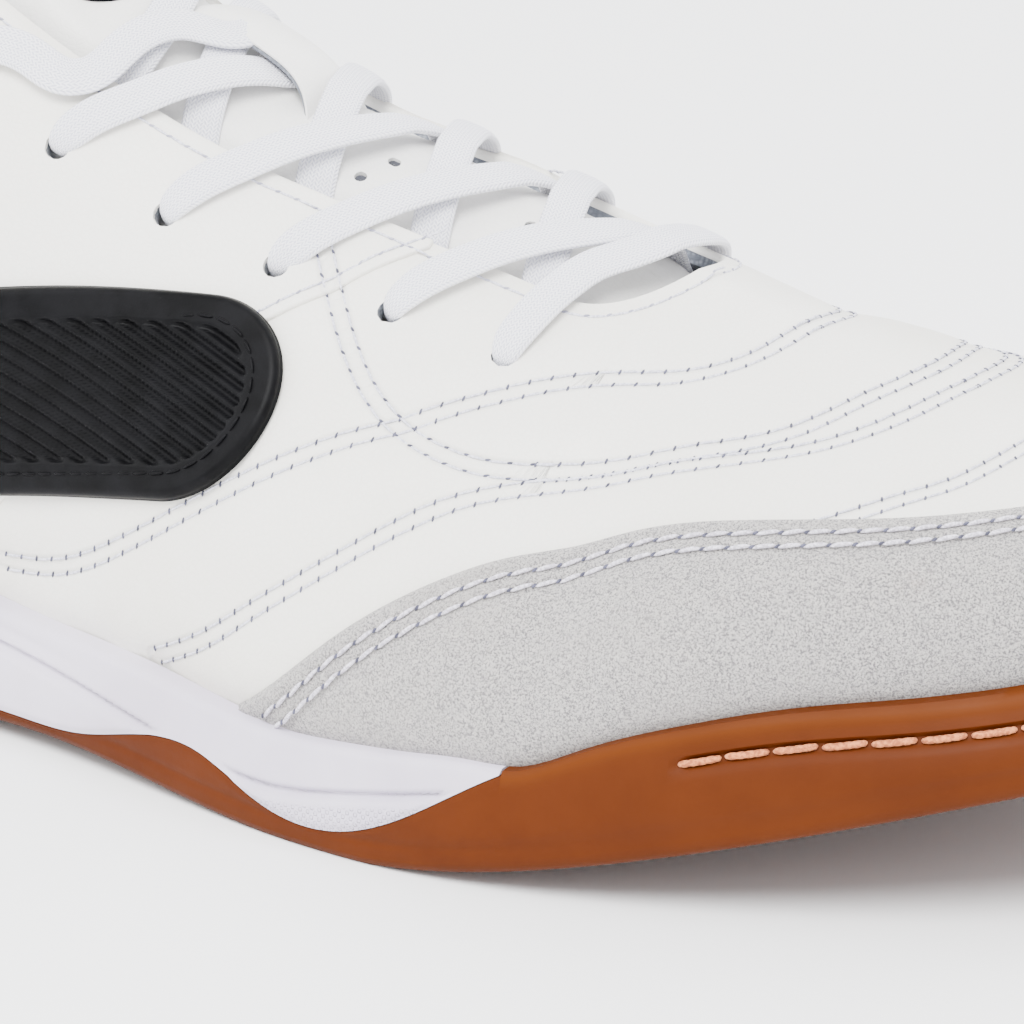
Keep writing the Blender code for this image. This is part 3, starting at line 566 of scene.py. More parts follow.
def relief(points, fields=None):  # how far the leather stands proud of the plain form
    fields = fields or seamField(points)
    flat = points.reshape(-1, 3)
    lift = np.zeros(len(flat))
    for k in range(0, len(flat), batch):
        apart = np.linalg.norm(flat[k : k + batch, None] - edgeLine["point"][None], axis=2)
        near = apart.argmin(1)
        reach = smoothStep(edgeRise["reach"], 0.0, apart.min(1))
        lift[k : k + batch] = edgeRise["height"] * reach * edgeLine["height"][near]
    lift = lift.reshape(points.shape[:-1])
    for distance in fields.values():
        lift -= stitching["valley"] * np.exp(-((distance / stitching["valleyWidth"]) ** 2))
        beside = (distance - stitching["puffAt"]) / stitching["puffWidth"]
        lift += stitching["puff"] * np.exp(-(beside**2))
    for start, end, side, depth, width in creases:
        middle = ((start[0] + end[0]) / 2 + creaseBow, (start[1] + end[1]) / 2)
        line = curveOver([start, middle, end], side, 40)
        distance = distanceTo(points, line)
        lift -= depth * np.exp(-((distance / width) ** 2))
    return lift


# shader groups shared by several finishes
def newGroup(name, inputs, outputs):
    group = bpy.data.node_groups.new(name, "ShaderNodeTree")
    for key, kind, value in inputs:
        socket = group.interface.new_socket(key, in_out="INPUT", socket_type=kind)
        if value is not None:
            socket.default_value = value
    for key, kind in outputs:
        group.interface.new_socket(key, in_out="OUTPUT", socket_type=kind)
    return group, Builder(group)


class Builder:
    # Short hand for adding and linking nodes
    def __init__(self, tree):
        self.tree = tree

    def add(self, kind, links=None, **settings):
        node = self.tree.nodes.new(kind)
        for key, value in settings.items():
            setattr(node, key, value)
        for key, value in (links or {}).items():
            self.feed(node.inputs[key], value)
        return node

    def feed(self, socket, value):
        if isinstance(value, bpy.types.NodeSocket):
            self.tree.links.new(value, socket)
        elif isinstance(value, bpy.types.Node):
            self.tree.links.new(value.outputs[0], socket)
        else:
            socket.default_value = value

    def math(self, operation, a, b=0.0, c=None):
        node = self.add("ShaderNodeMath", {0: a, 1: b}, operation=operation)
        if c is not None:
            self.feed(node.inputs[2], c)
        return node.outputs[0]

    def blend(self, factor, a, b, kind="MIX"):
        node = self.add("ShaderNodeMix", data_type="RGBA", blend_type=kind, clamp_factor=True)
        for key, value in ((0, factor), (6, a), (7, b)):
            self.feed(node.inputs[key], value)
        return node.outputs[2]

    def stain(self, mask, amount, colour, tint):  # part of a tint over a colour, where the mask is
        return self.blend(self.math("MULTIPLY", mask, amount), colour, tint)

    def ramp(self, value, low, high):  # 0 below low, 1 above high
        node = self.add("ShaderNodeMapRange", {0: value, 1: low, 2: high}, interpolation_type="SMOOTHSTEP")
        return node.outputs[0]

    def noise(self, vector, scale, detail=3.0, rough=0.5):
        node = self.add("ShaderNodeTexNoise", {"Scale": scale, "Detail": detail, "Roughness": rough})
        self.feed(node.inputs["Vector"], vector)
        return node.outputs[0]

    def cells(self, vector, scale, feature="F1", random=1.0):
        node = self.add("ShaderNodeTexVoronoi", {"Scale": scale, "Randomness": random}, feature=feature)
        self.feed(node.inputs["Vector"], vector)
        return node.outputs[0]

    def bump(self, height, distance, strength=1.0, normal=None):
        node = self.add("ShaderNodeBump", {"Height": height, "Distance": distance, "Strength": strength})
        if normal is not None:
            self.feed(node.inputs["Normal"], normal)
        return node.outputs[0]


def grainGroup():  # fine pebbled grain: height, and a mask of the pores
    group, build = newGroup(
        "leatherGrain",
        [("Vector", "NodeSocketVector", None), ("Scale", "NodeSocketFloat", 900.0)],
        [("Height", "NodeSocketFloat"), ("Pores", "NodeSocketFloat")],
    )
    source = build.add("NodeGroupInput")
    fine = build.cells(source.outputs[0], source.outputs[1], "DISTANCE_TO_EDGE")
    cracks = build.ramp(fine, 0.0, 0.18)
    speck = build.noise(source.outputs[0], build.math("MULTIPLY", source.outputs[1], 2.2), 2.0)
    height = build.math("ADD", cracks, build.math("MULTIPLY", speck, 0.6))
    sink = build.add("NodeGroupOutput")
    build.feed(sink.inputs[0], height)
    build.feed(sink.inputs[1], build.math("SUBTRACT", 1.0, cracks))
    return group


def soilGroup():  # soft uneven mask: strongest low down, fading upward, and in patches
    group, build = newGroup(
        "lowPatches",
        [("Vector", "NodeSocketVector", None), ("Low", "NodeSocketFloat", 0.0),
         ("High", "NodeSocketFloat", 0.03), ("Scale", "NodeSocketFloat", 40.0)],
        [("Mask", "NodeSocketFloat")],
    )
    source = build.add("NodeGroupInput")
    height = build.add("ShaderNodeSeparateXYZ", {0: source.outputs[0]}).outputs[2]
    ends = {0: height, 1: source.outputs[1], 2: source.outputs[2], 3: 1.0, 4: 0.0}
    span = build.add("ShaderNodeMapRange", ends)
    patches = build.ramp(build.noise(source.outputs[0], source.outputs[3], 5.0, 0.6), 0.42, 0.68)
    sink = build.add("NodeGroupOutput")
    build.feed(sink.inputs[0], build.math("MULTIPLY", span.outputs[0], patches))
    return group


grain = grainGroup()
lowPatches = soilGroup()


def finish(name, roughness, **constants):
    material = bpy.data.materials.new(name)
    material.use_nodes = True
    build = Builder(material.node_tree)
    shader = material.node_tree.nodes["Principled BSDF"]
    shader.inputs["Roughness"].default_value = roughness
    for key, value in constants.items():
        shader.inputs[key].default_value = value
    where = build.add("ShaderNodeTexCoord").outputs["Object"]
    return material, build, shader, where


def useGroup(build, group, where, **values):
    node = build.add("ShaderNodeGroup", node_tree=group)
    build.feed(node.inputs[0], where)
    for key, value in values.items():
        node.inputs[key].default_value = value
    return node


def srgb(r, g, b):
    return tuple(((c / 255 + 0.055) / 1.055) ** 2.4 if c > 10 else c / 3294.6 for c in (r, g, b)) + (1,)


def leatherFinish(name, tint, seamed=True):
    material, build, shader, where = finish(name, 0.40, **{"Coat Weight": 0.12, "Coat Roughness": 0.35})
    wide = build.noise(where, 22.0, 4.0, 0.55)
    cloud = build.noise(where, 120.0, 3.0)
    aged = tuple(c * f for c, f in zip(tint, (0.955, 0.945, 0.92, 1)))
    colour = build.blend(build.ramp(wide, 0.3, 0.75), tint, aged)
    grained = useGroup(build, grain, where, Scale=1150.0)
    colour = build.stain(grained.outputs[1], 0.10, colour, tuple(c * 0.72 for c in tint[:3]) + (1,))
    # painted shade: the leather low down tinted darker and warmer, in patches
    lowTint = useGroup(build, lowPatches, where, Low=0.012, High=0.034, Scale=55.0)
    colour = build.stain(lowTint.outputs[0], 0.22, colour, srgb(196, 184, 160))
    rough = build.math("ADD", 0.36, build.math("MULTIPLY", cloud, 0.14))
    build.feed(shader.inputs["Roughness"], rough)
    soft = build.bump(build.noise(where, 260.0, 3.0, 0.6), 0.00008, 0.6)
    normal = build.bump(grained.outputs[0], 0.00003, 0.55, soft)
    if seamed:  # each row of stitches pulls a narrow groove into the leather
        groove = None
        for k in range(len(seams)):
            across = build.add("ShaderNodeAttribute", attribute_name="seam" + str(k)).outputs["Fac"]
            row = build.math("ABSOLUTE", build.math("SUBTRACT", across, stitching["rowGap"] / 2))
            groove = build.math("MINIMUM", groove, row) if groove else row
        normal = build.bump(build.ramp(groove, 0.0, 0.0007), 0.00016, 1.0, normal)
        # painted shade: the leather inside each stitch groove tinted a cooler grey
        colour = build.stain(build.ramp(groove, 0.0005, 0.0), 0.25, colour, srgb(178, 180, 190))
    build.feed(shader.inputs["Base Color"], colour)
    build.feed(shader.inputs["Normal"], normal)
    return material


def liningFinish():
    material, build, shader, where = finish("liningCloth", 0.92, **{"Sheen Weight": 0.25})
    mesh = build.cells(where, 1400.0, "F1", 0.35)
    colour = build.blend(build.ramp(mesh, 0.15, 0.6), srgb(134, 138, 146), srgb(96, 101, 110))
    colour = build.blend(build.ramp(build.noise(where, 30.0), 0.4, 0.7), colour, srgb(114, 119, 128))
    build.feed(shader.inputs["Base Color"], colour)
    build.feed(shader.inputs["Normal"], build.bump(mesh, 0.0002, 0.7))
    return material


def suedeFinish():
    sheen = {"Sheen Weight": 0.35, "Sheen Roughness": 0.6}
    material, build, shader, where = finish("suede", 0.95, **sheen)
    nap = build.noise(where, 3600.0, 4.0, 0.8)
    clumps = build.noise(where, 900.0, 4.0, 0.7)
    wide = build.noise(where, 34.0, 4.0, 0.6)
    colour = build.blend(build.ramp(nap, 0.40, 0.58), srgb(88, 85, 88), srgb(194, 189, 184))
    colour = build.stain(build.ramp(clumps, 0.40, 0.66), 0.25, colour, srgb(146, 143, 144))
    colour = build.stain(build.ramp(wide, 0.45, 0.7), 0.35, colour, srgb(166, 160, 154))
    spotPlace = (0.1085, -0.0330, 0.0450)
    apart = build.add("ShaderNodeVectorMath", {0: where, 1: spotPlace}, operation="DISTANCE")
    near = build.ramp(apart.outputs["Value"], 0.0065, 0.0010)
    spot = build.math("MULTIPLY", near, build.ramp(clumps, 0.38, 0.62))
    colour = build.stain(spot, 0.5, colour, srgb(205, 140, 90))
    height = build.math("ADD", nap, build.math("MULTIPLY", clumps, 1.6))
    build.feed(shader.inputs["Base Color"], colour)
    build.feed(shader.inputs["Normal"], build.bump(height, 0.00022, 1.0))
    return material


def foamFinish():
    material, build, shader, where = finish("midsoleFoam", 0.52, **{"Coat Weight": 0.05})
    cloud = build.noise(where, 45.0, 4.0)
    colour = build.blend(build.ramp(cloud, 0.35, 0.7), srgb(208, 201, 216), srgb(194, 187, 204))
    # darker and warmer towards the bottom, in patches
    lowTint = useGroup(build, lowPatches, where, Low=0.002, High=0.022, Scale=70.0)
    colour = build.stain(lowTint.outputs[0], 0.16, colour, srgb(170, 152, 146))
    dotsPace = 5200.0  # moulded dots, in rows
    runAt = build.add("ShaderNodeAttribute", attribute_name="run").outputs["Fac"]
    across = build.math("SINE", build.math("MULTIPLY", runAt, dotsPace))
    height = build.add("ShaderNodeSeparateXYZ", {0: where}).outputs[2]
    up = build.math("SINE", build.math("MULTIPLY", height, dotsPace))
    area = build.add("ShaderNodeAttribute", attribute_name="dots").outputs["Fac"]
    raised = build.math("MULTIPLY", build.ramp(build.math("MULTIPLY", across, up), 0.05, 0.6), area)
    build.feed(shader.inputs["Base Color"], colour)
    skinned = build.bump(build.noise(where, 900.0, 3.0), 0.00002, 0.6)
    build.feed(shader.inputs["Normal"], build.bump(raised, 0.00022, 1.0, skinned))
    return material


def gumFinish():
    material, build, shader, where = finish("gumRubber", 0.55, **{"Specular IOR Level": 0.10})
    wide = build.noise(where, 26.0, 4.0, 0.6)
    streak = build.noise(where, 90.0, 4.0, 0.65)
    colour = build.blend(build.ramp(wide, 0.32, 0.70), srgb(68, 27, 1), srgb(78, 33, 2))
    colour = build.stain(build.ramp(streak, 0.45, 0.75), 0.30, colour, srgb(68, 26, 1))
    # darker towards the bottom, in patches
    foot = useGroup(build, lowPatches, where, Low=0.0, High=0.012, Scale=90.0)
    colour = build.stain(foot.outputs[0], 0.35, colour, srgb(62, 24, 2))
    # painted highlight: the rounded bead along the rubber's top tinted lighter
    bead = build.add("ShaderNodeAttribute", attribute_name="bead").outputs["Fac"]
    colour = build.stain(bead, 0.40, colour, srgb(97, 48, 5))
    build.feed(shader.inputs["Base Color"], colour)
    build.feed(shader.inputs["Roughness"], build.math("ADD", 0.46, build.math("MULTIPLY", streak, 0.22)))
    grit = build.bump(build.noise(where, 1100.0, 4.0, 0.6), 0.00005, 0.6)
    build.feed(shader.inputs["Normal"], build.bump(build.noise(where, 150.0, 3.0), 0.00012, 0.4, grit))
    return material


def blackFinish():
    material, build, shader, where = finish("blackSynthetic", 0.42, **{"Specular IOR Level": 0.07})
    cloud = build.noise(where, 240.0, 4.0)
    colour = build.blend(build.ramp(cloud, 0.3, 0.7), srgb(5, 5, 6), srgb(12, 12, 14))
    build.feed(shader.inputs["Base Color"], colour)
    build.feed(shader.inputs["Roughness"], build.math("ADD", 0.34, build.math("MULTIPLY", cloud, 0.2)))
    build.feed(shader.inputs["Normal"], build.bump(build.noise(where, 2400.0, 3.0), 0.00004, 0.6))
    return material


def laceFinish():  # flat woven lace: u across, v along, in millimetres
    material, build, shader, _ = finish("laceWeave", 0.85, **{"Sheen Weight": 0.2})
    place = build.add("ShaderNodeUVMap", uv_map="weave").outputs[0]
    parts = build.add("ShaderNodeSeparateXYZ", {0: place})
    across, down = parts.outputs[0], parts.outputs[1]
    strand = build.math("FRACT", build.math("MULTIPLY", across, 1.15))
    fold = build.math("ABSOLUTE", build.math("SUBTRACT", strand, 0.5))
    slant = build.math("ADD", build.math("MULTIPLY", down, 1.7), build.math("MULTIPLY", fold, 2.0))
    yarn = build.math("SINE", build.math("MULTIPLY", slant, 6.2832))
    ridge = build.math("SINE", build.math("MULTIPLY", across, 14.45))
    height = build.math("ADD", yarn, build.math("MULTIPLY", ridge, 0.7))
    colour = build.blend(build.ramp(height, -1.3, 0.8), srgb(205, 205, 219), srgb(247, 247, 252))
    build.feed(shader.inputs["Base Color"], colour)
    build.feed(shader.inputs["Normal"], build.bump(height, 0.00010, 0.55))
    return material


def threadFinish(name, tint, dark, scale):
    material, build, shader, where = finish(name, 0.7, **{"Sheen Weight": 0.2})
    twist = build.noise(where, scale, 3.0, 0.6)
    build.feed(shader.inputs["Base Color"], build.blend(build.ramp(twist, 0.38, 0.62), dark, tint))
    build.feed(shader.inputs["Normal"], build.bump(twist, 0.00005, 0.6))
    return material


def insoleFinish():
    material, build, shader, where = finish("sockCloth", 0.9, **{"Sheen Weight": 0.2})
    weave = build.cells(where, 900.0, "F1", 0.15)
    colour = build.blend(build.ramp(weave, 0.1, 0.6), srgb(112, 120, 132), srgb(76, 84, 96))
    colour = build.blend(build.ramp(build.noise(where, 18.0, 4.0), 0.45, 0.7), colour, srgb(96, 103, 114))
    build.feed(shader.inputs["Base Color"], colour)
    build.feed(shader.inputs["Normal"], build.bump(weave, 0.0002, 0.6))
    return material


leather = leatherFinish("whiteLeather", srgb(238, 236, 229))
tongueLeather = leatherFinish("tongueLeather", srgb(236, 235, 232), seamed=False)
lining = liningFinish()
suede = suedeFinish()
foam = foamFinish()
gum = gumFinish()
black = blackFinish()
laceCloth = laceFinish()
thread = threadFinish("lavenderThread", srgb(226, 226, 236), srgb(188, 188, 202), 3000.0)
suedeThread = threadFinish("suedeThread", srgb(226, 222, 232), srgb(176, 170, 182), 3000.0)
soleThread = threadFinish("soleThread", srgb(208, 124, 68), srgb(152, 78, 34), 1900.0)
# painted shade: dark marks laid at the needle holes stand in for the shade inside them; the faint ones are
# lighter
holeShade = threadFinish("needleHole", srgb(84, 84, 106), srgb(52, 52, 70), 900.0)
faintHoleShade = threadFinish("faintHoleShade", srgb(168, 168, 184), srgb(140, 140, 158), 900.0)
insoleCloth = insoleFinish()
print("finishes made")

# camera at the photograph's angle
photo = {"azimuth": 33.0, "elevation": 18.5, "distance": 0.9, "lens": 262.6, "sensor": 36,
         "ball": (0.039, -0.051, 0.0), "right": 0.0219, "up": 0.0416}
turn, tilt = math.radians(photo["azimuth"]), math.radians(photo["elevation"])
toRight = Vector((math.cos(turn), math.sin(turn), 0))
toTop = Vector((-math.sin(turn) * math.sin(tilt), math.cos(turn) * math.sin(tilt), math.cos(tilt)))
toEye = Vector((math.sin(turn) * math.cos(tilt), -math.cos(turn) * math.cos(tilt), math.sin(tilt)))
aim = Vector(photo["ball"]) + toRight * photo["right"] + toTop * photo["up"]
lens = bpy.data.cameras.new("photoCamera")
lens.lens = photo["lens"]
lens.sensor_width = photo["sensor"]
camera = bpy.data.objects.new("photoCamera", lens)
facing = Matrix((toRight, toTop, toEye)).transposed().to_4x4()
camera.matrix_world = Matrix.Translation(aim + toEye * photo["distance"]) @ facing
bpy.context.scene.collection.objects.link(camera)
bpy.context.scene.camera = camera

# upper: one shell of leather outside and lining inside
upperSizes = {"columns": 262, "rows": 92, "holeRadius": 0.0017, "cornerReach": 0.035, "smoothing": 160}


def evenPlaces(count):  # places spaced evenly round one side of the outline
    fine = np.linspace(0, 1, 2001)
    edge = outlineEdge(fine)
    run = runAlong(edge)
    return np.interp(np.linspace(0, run[-1], count), run, fine)


def upperPlaces():
    half = evenPlaces(upperSizes["columns"])
    roundStart = last["throatEnd"] - last["throatRound"] / last["length"]
    turns = turnOf(roundStart + (last["throatEnd"] - roundStart) * np.sin(np.linspace(0, math.pi / 2, 11)))
    half = half[(half < turns[0] - 0.001) | (half > turns[-1] + 0.001)]
    return np.sort(np.concatenate([half, turns]))


def openingTable(side):  # where the upper stops, with the corner of collar and throat rounded
    places = np.unique(np.concatenate([evenPlaces(1100), upperPlaces()]))
    ends = ribEnds(side * places)
    along = alongOf(places)
    corner = np.flatnonzero(np.abs(along - last["collarFront"] - 0.004) < upperSizes["cornerReach"])
    for _ in range(upperSizes["smoothing"]):
        ends[corner] = ends[corner] / 2 + (ends[corner - 1] + ends[corner + 1]) / 4
    return places, ends


openings = {side: openingTable(side) for side in (1, -1)}


def stopAt(place):  # share of the rib at which the upper stops
    place = np.asarray(place, float)
    outer = np.interp(np.abs(place), *openings[1])
    inner = np.interp(np.abs(place), *openings[-1])
    return np.where(place < 0, inner, outer)


eyeletAlong = np.linspace(0.647, 0.367, 6)


def eyeletFrames():
    found = []
    for along in eyeletAlong:
        for side in (1, -1):
            point, normal = overSkin(along, side * (throatWidth(along) + last["eyeletInset"]), 0.0)
            found.append((along, side, point, normal))
    return found


eyelets = eyeletFrames()


def buildUpper():
    half = upperPlaces()
    rows = upperSizes["rows"]
    places = np.concatenate([half, -half[-2:0:-1]])
    stops = stopAt(places)
    climb = np.linspace(0, 1, rows)
    shares = stops[:, None] * climb[None]
    base, normal = skinFrame(places[:, None], shares)
    fields = seamField(base)
    lift = relief(base, fields)
    thin = last["wall"] - 0.0001
    outside = base + normal * lift[..., None]
    inside = base - normal * thin
    foot = np.concatenate([outside[:, :1], inside[:, :1]], 1).copy()
    foot[..., 2] = (seatHeight(places) + last["gap"])[:, None]
    outside = np.concatenate([foot[:, :1], outside], 1)
    inside = np.concatenate([foot[:, 1:], inside], 1)
    closed = alongOf(places) > last["throatEnd"] - 1e-6
    mirror = {round(float(p), 9): k for k, p in enumerate(places)}
    for k in np.flatnonzero(closed):  # both sides meet on the crest
        other = mirror.get(round(float(-places[k]), 9))
        if other is not None and other > k:
            for grid in (outside, inside):
                grid[k, -1] = grid[other, -1] = (grid[k, -1] + grid[other, -1]) / 2
    columns = len(places)
    ringed = np.concatenate([outside, outside[:1]]), np.concatenate([inside, inside[:1]])
    keep = np.ones((columns, rows), bool)
    for _, _, point, way in eyelets:
        punch(*ringed, keep, point, way, upperSizes["holeRadius"])
    outside, inside = ringed[0][:-1], ringed[1][:-1]
    count = columns * (rows + 1)
    grid = np.arange(count).reshape(columns, rows + 1)
    quads = gridFaces(columns, rows + 1, closedRows=True)[keep.ravel()]
    faces = [quads, quads[:, ::-1] + count]
    low, lowNext = grid[:, 0], np.roll(grid[:, 0], -1)
    faces.append(np.stack([low, lowNext, lowNext + count, low + count], -1))
    points = [outside.reshape(-1, 3), inside.reshape(-1, 3)]
    # rim round the opening: leather edge above, grey lining edge below
    first = len(half[alongOf(half) < last["throatEnd"] - 1e-6])
    loop = list(range(first + 1)) + [k for k in range(columns) if not closed[k] and k > first]
    edge, under = outside[loop, -1], inside[loop, -1]
    out, thick = rimFrame(edge, under)
    out *= np.sign((out * (edge - outside[loop, -3])).sum(1))[:, None]
    out[first] = (-1, 0, 0)
    previous = grid[loop, -1]
    start = 2 * count
    for turnShare, reach in ((0.18, 0.10), (0.46, 0.13), (0.54, 0.04), (0.85, 0.05)):
        points.append(edge + (under - edge) * turnShare + out * thick * reach)
        current = start + np.arange(len(loop))
        faces.append(ringWall(previous, current))
        previous = current
        start += len(loop)
    faces.append(ringWall(previous, grid[loop, -1] + count))
    faces.append(holeWalls(keep, grid, count, closed=True))
    mesh, firstIds = plainMesh("upper", np.concatenate(points), np.concatenate(faces).tolist())
    turnOutward(mesh)
    for key, value in seamValues(fields).items():
        value = np.concatenate([value[:, :1], value], 1).ravel()
        whole = np.concatenate([value, np.full(start - count, seamReach)])
        setValues(mesh, key, whole[firstIds])
    kind = np.concatenate([np.zeros(count), np.ones(count), np.repeat([0, 0, 1, 1], len(loop))])[firstIds]
    kinds = [1 if kind[list(p.vertices)].mean() > 0.4 else 0 for p in mesh.polygons]
    mesh.polygons.foreach_set("material_index", kinds)
    return addPiece("upper", mesh, leather, lining, sharp=60)


def settle(piece, slotName, *nodes, body="root"):  # binds a finished piece to the frame
    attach(piece, body)
    if nodes:
        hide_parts(*nodes)
    return piece


upper = settle(buildUpper(), "upper", "upper")
print("upper made:", len(upper.data.polygons), "faces")

# quarter overlays: a thin panel over each rear side, with its front edge at the vamp
overlay = {"thickness": 0.0006, "columns": 210, "rows": 46, "sink": 0.0002, "lastHole": 0.56,
           "rowInset": 0.0013}
edgeKnots = [row[0] for row in quarterEdge]
quarterEdgeAt = splineThrough(edgeKnots, [row[1] for row in quarterEdge])


def overlayLift(along, share):  # how far the overlay raises the surface there
    below = np.where(along < edgeKnots[0], 0.0, quarterEdgeAt(along))
    on = (along < edgeKnots[-1]) & (share > below)
    return np.where(on, overlay["thickness"], 0.0)


def buildQuarter(name, side):
    places = evenPlaces(500)
    places = places[places < turnOf(edgeKnots[-1]) - 0.0015]
    fine = np.interp(np.linspace(0, 1, overlay["columns"]), np.linspace(0, 1, len(places)), places)
    along = alongOf(fine)
    stops = stopAt(side * fine)
    low = np.where(along < edgeKnots[0], 0.0, np.clip(quarterEdgeAt(along), 0, 1))
    low = np.minimum(np.clip(low, 0.015, 1), stops - 0.004)
    climb = np.linspace(0, 1, overlay["rows"])
    shares = low[:, None] + (stops - low)[:, None] * climb[None]
    base, normal = skinFrame(side * fine[:, None], shares)
    fields = seamField(base)
    lift = relief(base, fields)
    outside = base + normal * (lift + overlay["thickness"])[..., None]
    inside = base + normal * (lift - overlay["sink"])[..., None]
    radius = upperSizes["holeRadius"]
    holes = [(point, way, radius) for a, s, point, way in eyelets if s == side and a < overlay["lastHole"]]
    return slab(name, outside, inside, leather, rim=2, values=seamValues(fields), holes=holes)


for name, side in (("quarter_outer", 1), ("quarter_inner", -1)):
    settle(buildQuarter(name, side), "upper")
print("quarters made")

# padded collar lining
collarPad = {"depth": 0.026, "fullness": 0.0030, "front": 0.372, "columns": 120, "rows": 30}


def buildCollarPad():
    half = evenPlaces(400)
    half = half[alongOf(half) < collarPad["front"]]
    places = np.interp(
        np.linspace(0, 1, 2 * collarPad["columns"]),
        np.linspace(0, 1, 2 * len(half) - 1),
        np.concatenate([half[::-1], -half[1:]]),
    )
    stops = stopAt(places)
    share = np.linspace(0, 1, 161)
    runs = np.linspace(0, 1, collarPad["rows"])
    shares = np.empty((len(places), len(runs)))
    for k, place in enumerate(places):
        line = rib(place, share * stops[k])
        run = runAlong(line[::-1])
        shares[k] = np.interp(runs * collarPad["depth"] + 0.0003, run, (share * stops[k])[::-1])
    base, normal = skinFrame(places[:, None], shares)
    nearEnds = smoothStep(collarPad["front"], collarPad["front"] - 0.05, alongOf(places))[:, None]
    swell = np.sqrt(np.clip(1 - (1 - np.clip(runs / 0.16, 0, 1)) ** 2, 0, 1))
    swell *= 1 - smoothStep(0.55, 1.0, runs)
    puffs = 1 + 0.05 * np.sin(np.linspace(0, 60, len(places)))[:, None] * np.sin(runs * 3)[None]
    deep = 0.0004 + collarPad["fullness"] * swell[None] * (0.25 + 0.75 * nearEnds) * puffs
    outside = base - normal * last["wall"]
    inside = base - normal * (last["wall"] + deep)[..., None]
    return slab("collar_lining", outside, inside, lining, rim=2)


collarLining = settle(buildCollarPad(), "upper")
print("collar lining made")

# suede toe cap
cap = {"lift": 0.0002, "thickness": 0.0014, "columns": 248, "rows": 58, "foot": -0.022}


def buildToeCap():
    fine = evenPlaces(900)
    fine = fine[fine > turnOf(capTable[0][0])]
    half = np.interp(np.linspace(0, 1, cap["columns"]), np.linspace(0, 1, len(fine)), fine)
    places = np.concatenate([half, -half[-2::-1]])
    sides = np.where(places > 0, 1, -1)
    along = alongOf(places)
    top = np.where(sides > 0, capAt[1](along), capAt[-1](along))
    low = np.minimum(cap["foot"], top - 0.004)
    shares = low[:, None] + (top - low)[:, None] * np.linspace(0, 1, cap["rows"])[None]
    base, normal = skinFrame(places[:, None], shares)
    rows = capRowField(base)
    worn = 0.00010 * np.sin(places * 40)[:, None] * np.linspace(1, 0, cap["rows"])[None]
    pulled = -0.00022 * np.exp(-((rows / 0.0009) ** 2))
    edge = -0.0005 * (1 - smoothStep(0.0, 0.10, 1 - np.linspace(0, 1, cap["rows"])))[None]
    outside = base + normal * (cap["lift"] + cap["thickness"] + worn + pulled + edge)[..., None]
    inside = base + normal * (cap["lift"] - 0.0006)
    return slab("toe_cap", outside, inside, suede, rim=2)


def capEdgeLine():
    climb = np.linspace(0.581, 0.995, 200)
    along = np.concatenate([climb, [1.0], climb[::-1]])
    side = np.concatenate([np.ones(201), -np.ones(200)])
    share = np.where(side > 0, capAt[1](along), capAt[-1](along))
    return lineFrom(side * turnOf(along), share)


capEdge = capEdgeLine()
capRows = (0.0023, 0.0044)


def capRowField(points):
    distance = distanceTo(points, capEdge)
    return np.minimum(np.abs(distance - capRows[0]), np.abs(distance - capRows[1]))


settle(buildToeCap(), "toe_cap", "toe_cap")
print("toe cap made")

# black ribbed ovals on the sides
oval = {"length": 0.066, "height": 0.026, "middle": 0.446, "thickness": 0.0016, "border": 0.0040,
        "ribDepth": 0.00048, "ribPitch": 0.00165, "ribSlant": -0.45, "around": 150, "across": 118}
ovalTable = [("side_patch_outer", 1, 0.300, 1.10), ("side_patch_inner", -1, 0.250, 0.55)]


def shapeTree(name, **inputs):  # start of a Geometry Nodes tree with one result
    tree = bpy.data.node_groups.new(name, "GeometryNodeTree")
    for key, kind in inputs.items():
        tree.interface.new_socket(key, in_out="INPUT", socket_type="NodeSocket" + kind)
    tree.interface.new_socket("Geometry", in_out="OUTPUT", socket_type="NodeSocketGeometry")
    build = Builder(tree)
    return tree, build, build.add("NodeGroupInput")


def giveOut(build, source, grown):  # makes the instances real, with their finish, as the tree's result
    real = build.add("GeometryNodeRealizeInstances", {0: grown})
    parts = {"Geometry": real.outputs[0], "Material": source.outputs["Finish"]}
    coloured = build.add("GeometryNodeSetMaterial", parts)
    build.feed(build.add("NodeGroupOutput").inputs[0], coloured.outputs[0])


def ribTree():  # raises slanting ribs on the field of an oval, from its own attributes
    sockets = {"Geometry": "Geometry", "Depth": "Float", "Pitch": "Float", "Finish": "Material"}
    tree, build, source = shapeTree("ovalRibs", **sockets)
    phase = build.add("GeometryNodeInputNamedAttribute", {"Name": "ribPhase"}, data_type="FLOAT")
    field = build.add("GeometryNodeInputNamedAttribute", {"Name": "ribField"}, data_type="FLOAT")
    turned = build.math("DIVIDE", phase.outputs[0], source.outputs["Pitch"])
    wave = build.math("SINE", build.math("MULTIPLY", turned, 6.28318))
    square = build.math("MULTIPLY", build.math("TANH", build.math("MULTIPLY", wave, 1.8)), field.outputs[0])
    height = build.math("MULTIPLY", square, source.outputs["Depth"])
    normal = build.add("GeometryNodeInputNormal")
    offset = build.add("ShaderNodeVectorMath", {0: normal.outputs[0], "Scale": height}, operation="SCALE")
    moved = build.add("GeometryNodeSetPosition", {"Geometry": source.outputs[0], "Offset": offset.outputs[0]})
    giveOut(build, source, moved.outputs[0])
    return tree


